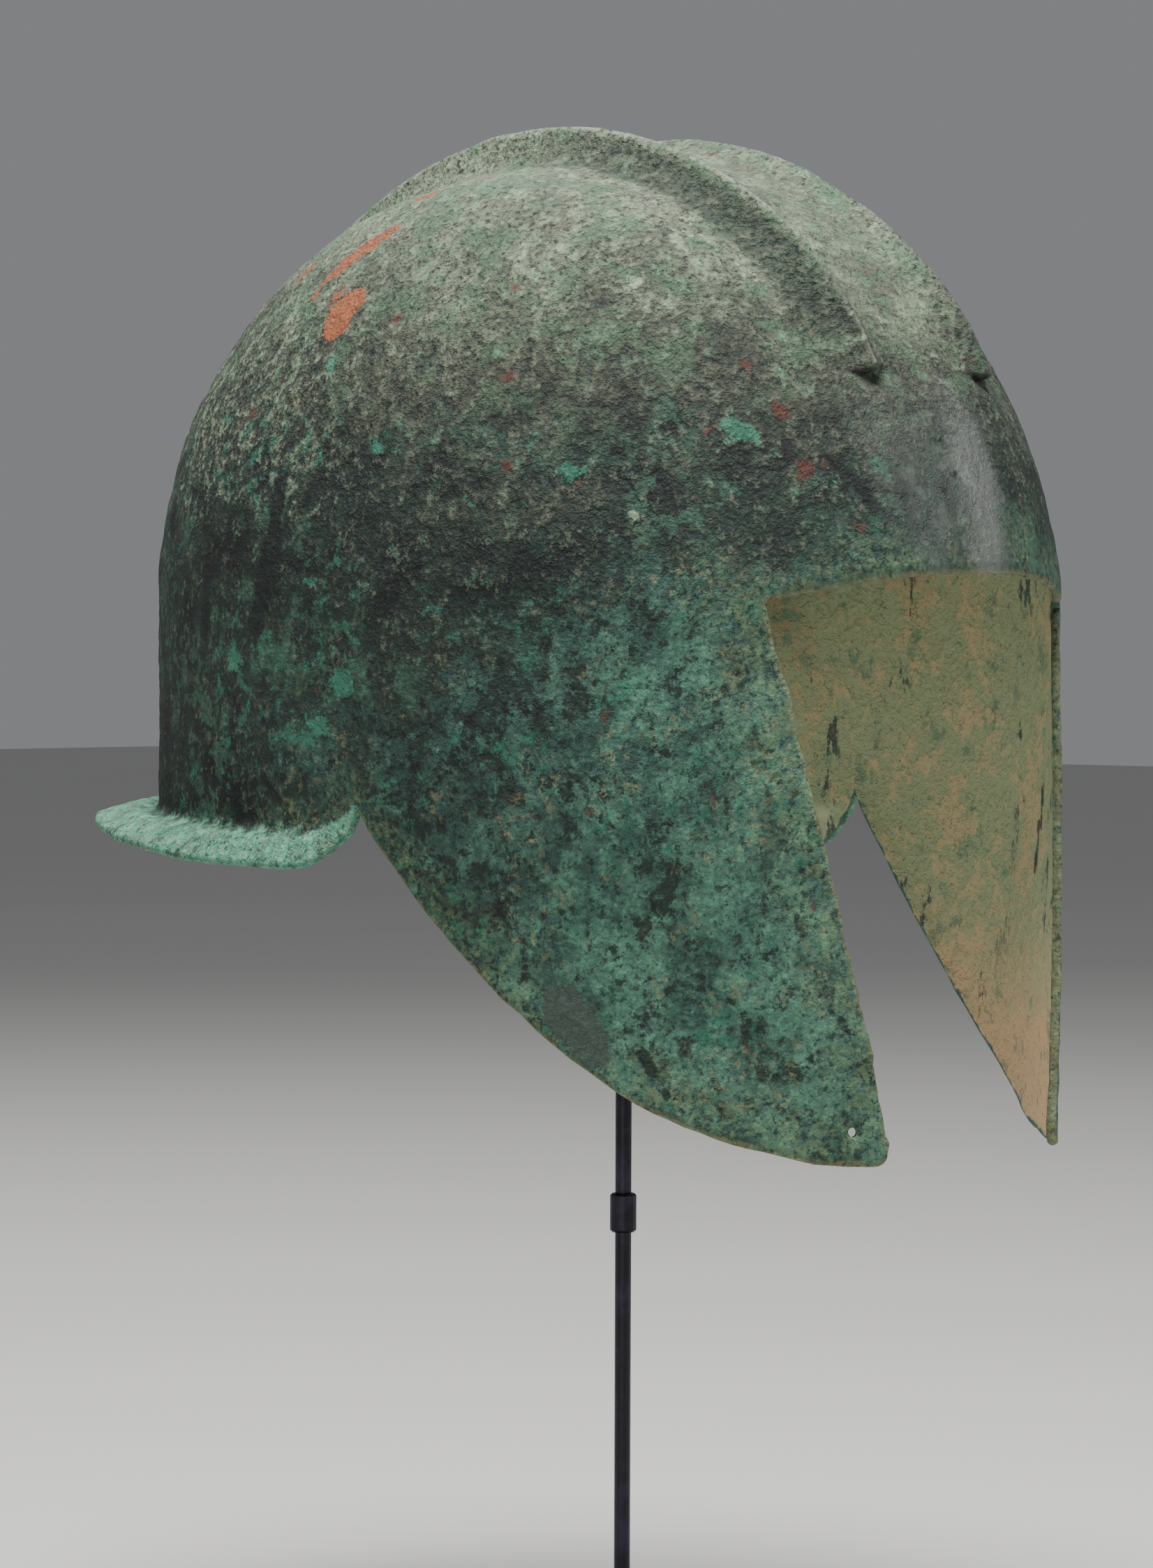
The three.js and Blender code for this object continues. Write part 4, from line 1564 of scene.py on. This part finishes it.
            grid, share = self.rim_grid(rim, out)
            stock.add_grid(grid * mirror, hand < 0, inside=share * 0.5, from_edge=0.0, crest=0.0,
                           flange=float(rim is rims[-1]))

    def cut_holes(self, piece: bpy.types.Object) -> None:
        """Cut the strap hole in the tip of each cheekpiece.

        Args:
            piece: The helmet's object.
        """
        tool = bmesh.new()
        for hand in (-1, 1):
            angle = self.angle_of(self.tip_side + self.hole_from_tip_side)
            point, outward = self.wall_frame(angle, self.tip_depth - self.hole_over_tip, 0.0)
            mirror = np.array([hand, 1.0, 1.0])
            turn = Vector(outward * mirror).to_track_quat("Z", "Y").to_matrix().to_4x4()
            place = Matrix.Translation(Vector(point * mirror) * MM) @ turn
            bmesh.ops.create_cone(tool, cap_ends=True, segments=self.hole_sides, matrix=place,
                                  radius1=self.hole_radius * MM, radius2=self.hole_radius * MM,
                                  depth=self.hole_pin_length * MM)
        mesh = bpy.data.meshes.new("strap_hole_pins")
        tool.to_mesh(mesh)
        tool.free()
        pins = new_piece("strap_hole_pins", mesh)
        cut = piece.modifiers.new("strap_holes", "BOOLEAN")
        cut.operation = "DIFFERENCE"
        cut.solver = "MANIFOLD"
        cut.object = pins
        piece.data = baked_mesh(piece, piece.name)
        bpy.data.objects.remove(pins)

    def build(self) -> bpy.types.Object:
        """Return the smooth helmet as one closed piece."""
        stock = MeshStock()
        for hand in (1, -1):
            self.add_half(stock, hand)
        piece = new_piece("bronze_helmet", stock.mesh("bronze_helmet", WELD_MM))
        self.cut_holes(piece)
        return piece

    def dress(self, piece: bpy.types.Object) -> None:
        """Give the helmet its corrosion and its two finishes.

        Args:
            piece: The helmet's object.
        """
        points = np.empty(len(piece.data.vertices) * 3)
        piece.data.vertices.foreach_get("co", points)
        for stains in (*STAIN_MAPS, *INNER_MAPS):
            stains.paint(piece.data, points.reshape(-1, 3) / MM)
        outer = OuterPatina(maps=STAIN_MAPS).material()
        inner = InnerPatina(maps=INNER_MAPS).material()
        Corrosion().apply(piece, outer, inner)
        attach(piece, BODY)
        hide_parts("helmet")


STAIN_MAPS: tuple[StainMap, ...] = (
    StainMap("slate_patch", Stain.SLATE, trails(
        [(-89, -59, 197, 6.0), (-87, -61, 193)],
        [(-86, -64, 190, 5.5), (-85, -65, 187)],
    ), 0.92, 5.0),
    StainMap("soot_streaks", Stain.BLACK, trails(
        [(-45, -107, 335, 1.3), (-41, -111, 332, 1.5), (-35, -116, 322)],
        [(-101, 27, 329, 2.6), (-103, 28, 314, 3.6), (-103, 34, 292)],
        [(-102, 12, 331, 1.8), (-103, 17, 322)],
        [(-95, 58, 308, 2.6), (-95, 61, 290)],
        [(-51, -112, 198, 1.1), (-47, -115, 194, 0.9), (-45, -116, 190)],
        [(-79, -76, 186, 1.2), (-76, -80, 178, 0.8), (-74, -82, 174)],
    ), 0.85, 7.0),
    StainMap("verdigris_spots", Stain.BRIGHT_GREEN, spots(
        (-92, -50, 338, 2.3), (-89, -61, 331, 2.8), (-61, -92, 342, 3.2), (-60, -94, 341, 2.4),
        (-106, 1, 278, 3.0), (-106, -2, 276, 2.4), (-100, 44, 286, 3.4), (-100, 43, 283, 2.6),
        (-105, 20, 265, 2.6), (-105, 14, 263, 3.0), (-106, 9, 267, 2.2), (-101, -6, 338, 2.3),
        (-100, -12, 338, 1.7), (-92, 17, 360, 1.8), (-31, -114, 333, 1.8),
    ), 0.6, 14.0),
    StainMap("copper_patches", Stain.COPPER, trails(
        [(-83, 20, 375, 5.6), (-84, 21, 373)],
        [(-87, 20, 370, 3.6), (-87, 21, 369)],
        [(-72, 33, 387, 3.5), (-69, 27, 391, 2.2), (-66, 20, 396)],
        [(-75, 37, 383, 2.2), (-71, 33, 387)],
        [(-82, 28, 376, 1.5), (-78, 27, 380)],
        [(-54, 21, 405, 2.0), (-53, 18, 406)],
        [(-64, 54, 386, 2.0), (-64, 51, 388)],
        [(-78, 38, 378, 1.3), (-75, 37, 381)],
        [(-47, 13, 409, 1.1), (-44, 9, 410)],
    ), 0.9, 10.0),
    StainMap("cuprite_patches", Stain.CUPRITE, spots(
        (-87, -1, 371, 1.7), (-78, -33, 378, 1.4), (-91, 47, 348, 2.2), (-93, 44, 344, 1.6),
        (-51, -98, 346, 2.2), (-52, -97, 347, 1.5), (-50, -105, 332, 2.6), (-51, -105, 330, 1.9),
        (-67, -88, 341, 1.6), (-54, -89, 358, 1.8), (-40, -115, 317, 1.7), (-95, -45, 332, 1.7),
        (-88, -40, 355, 1.8), (-88, -64, 328, 1.4), (-105, -8, 313, 0.9), (-53, -111, 223, 1.3),
        (-70, -91, 217, 1.1), (-89, -56, 331, 0.8),
    ), 0.8, 5.0),
    StainMap("pale_specks", Stain.PALE_GREEN, spots(
        (-47, -61, 390, 2.3), (-47, -59, 392, 1.6), (-63, -59, 381, 1.5), (-64, -61, 379, 1.4),
        (-87, -74, 306, 0.8), (-83, -76, 320, 0.9), (-81, -80, 320, 0.8),
    ), 0.8, 6.0),
)

INNER_MAPS: tuple[StainMap, ...] = (
    StainMap("blue_streaks", Stain.BLUE_BLACK, trails(
        [(86, -74, 266, 1.2), (85, -75, 263)],
        [(72, -91, 249, 1.3), (72, -91, 240)],
        [(73, -90, 240, 1.7), (71, -90, 228)],
        [(82, -78, 247, 1.0), (81, -79, 243)],
        [(59, -102, 216, 0.9), (59, -102, 213)],
        [(63, -101, 259, 0.8), (64, -100, 253)],
        [(81, -82, 275, 0.8), (80, -83, 274)],
    ), 0.85, 8.0),
)


# The stand


@dataclass
class Stand:
    """The black stand: base plate, rod, collar and the pad under the crown, sized from the frame."""

    rod_finish: BlackMetal = BlackMetal()
    base_finish: BlackPaint = BlackPaint()

    def dress(self) -> None:
        """Give the stand's own nodes their finishes."""
        metal = self.rod_finish.material()
        paint = self.base_finish.material()
        for name in ("stand_rod", "rod_collar", "crown_rest", "base"):
            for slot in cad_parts[name].material_slots:
                slot.material = paint if name == "base" else metal


# The room


@dataclass(frozen=True)
class Softbox:
    """One square soft light: its place and side in metres, and its power in watts."""

    name: str
    place: Point
    size: float
    power: float

    def hang(self, target: Point) -> None:
        """Hang the light.

        Args:
            target: What it points at.
        """
        lamp = bpy.data.lights.new(self.name, "AREA")
        lamp.energy = self.power
        lamp.size = self.size
        thing = bpy.data.objects.new(self.name, lamp)
        thing.location = self.place
        aim = Vector(target) - Vector(self.place)
        thing.rotation_euler = aim.to_track_quat("-Z", "Y").to_euler()
        bpy.context.scene.collection.objects.link(thing)


@dataclass
class Studio:
    """The pale floor, the soft lights and the camera at the photograph's angle."""

    softboxes: tuple[Softbox, ...] = (
        Softbox("softbox_top", (-0.3, -0.15, 1.45), 0.6, 37),
        Softbox("softbox_face", (0.75, -1.3, 0.8), 0.5, 8),
        Softbox("softbox_camera", (-1.4, -0.5, 0.55), 0.9, 4.5),
        Softbox("softbox_back", (0.8, 1.1, 1.7), 1.2, 16),
    )
    light_target: Point = (0.0, 0.0, 0.33)
    room_colour: Colour = (0.9, 0.92, 0.95)
    room_light: float = 0.24
    floor_half: float = 9.0
    lens_distance: float = 1.4
    azimuth: float = 50.0
    elevation: float = -0.46
    roll: float = 0.2
    aim_height: float = 0.300
    focal_pixels: float = 7420.0
    image_width: int = 1652
    image_height: int = 2246
    aim_pixel: tuple[float, float] = (875.9, 857.9)
    sensor: float = 36.0

    def floor(self) -> None:
        """Build the pale floor."""
        mesh = bpy.data.meshes.new("studio_floor")
        half = self.floor_half
        corners = [(-half, -half, 0), (half, -half, 0), (half, half, 0), (-half, half, 0)]
        mesh.from_pydata(corners, [], [(0, 1, 2, 3)])
        mesh.materials.append(PalePlaster().material())
        new_piece("studio_floor", mesh)

    def lights(self) -> None:
        """Hang the softboxes and set the room's own light."""
        for softbox in self.softboxes:
            softbox.hang(self.light_target)
        world = bpy.data.worlds.new("studio_room")
        world.use_nodes = True
        room = Nodes(world.node_tree)
        world.node_tree.nodes.clear()
        light = {"Color": self.room_colour, "Strength": self.room_light}
        glow = room.add("ShaderNodeBackground", None, light)
        room.add("ShaderNodeOutputWorld", None, {"Surface": glow.outputs[0]})
        bpy.context.scene.world = world

    def camera(self) -> None:
        """Place the camera at the photograph's angle."""
        turn, climb = self.azimuth * DEGREE, self.elevation * DEGREE
        level = math.cos(climb)
        back = Vector((-math.sin(turn) * level, -math.cos(turn) * level, math.sin(climb)))
        right = Vector((math.cos(turn), -math.sin(turn), 0.0))
        up = right.cross(-back).normalized()
        spin = self.roll * DEGREE
        cos, sin = math.cos(spin), math.sin(spin)
        right, up = right * cos + up * sin, up * cos - right * sin
        off_x = (self.image_width / 2 - self.aim_pixel[0]) / self.focal_pixels
        off_y = (self.aim_pixel[1] - self.image_height / 2) / self.focal_pixels
        look = (-back + right * off_x + up * off_y).normalized()
        side = look.cross(up).normalized()
        top = side.cross(look)
        data = bpy.data.cameras.new("photo_camera")
        data.sensor_width = self.sensor
        data.lens = self.focal_pixels * self.sensor / self.image_height
        camera = bpy.data.objects.new("photo_camera", data)
        place = Vector((0, 0, self.aim_height)) + back * self.lens_distance
        turned = Matrix((side, top, -look)).transposed().to_4x4()
        camera.matrix_world = Matrix.Translation(place) @ turned
        bpy.context.scene.collection.objects.link(camera)
        bpy.context.scene.camera = camera


def main() -> None:
    """Build the room, the stand and the helmet in order."""
    logging.basicConfig(level=logging.INFO, format="%(message)s")
    studio = Studio()
    studio.floor()
    studio.lights()
    studio.camera()
    LOG.info("room: floor, lights and camera")
    Stand().dress()
    LOG.info("stand: finishes on its own nodes")
    sheet = BronzeSheet()
    helmet = sheet.build()
    LOG.info("helmet: %d faces before corrosion", len(helmet.data.polygons))
    sheet.dress(helmet)
    LOG.info("helmet: %d faces", len(helmet.data.polygons))


if __name__ == "__main__":
    main()
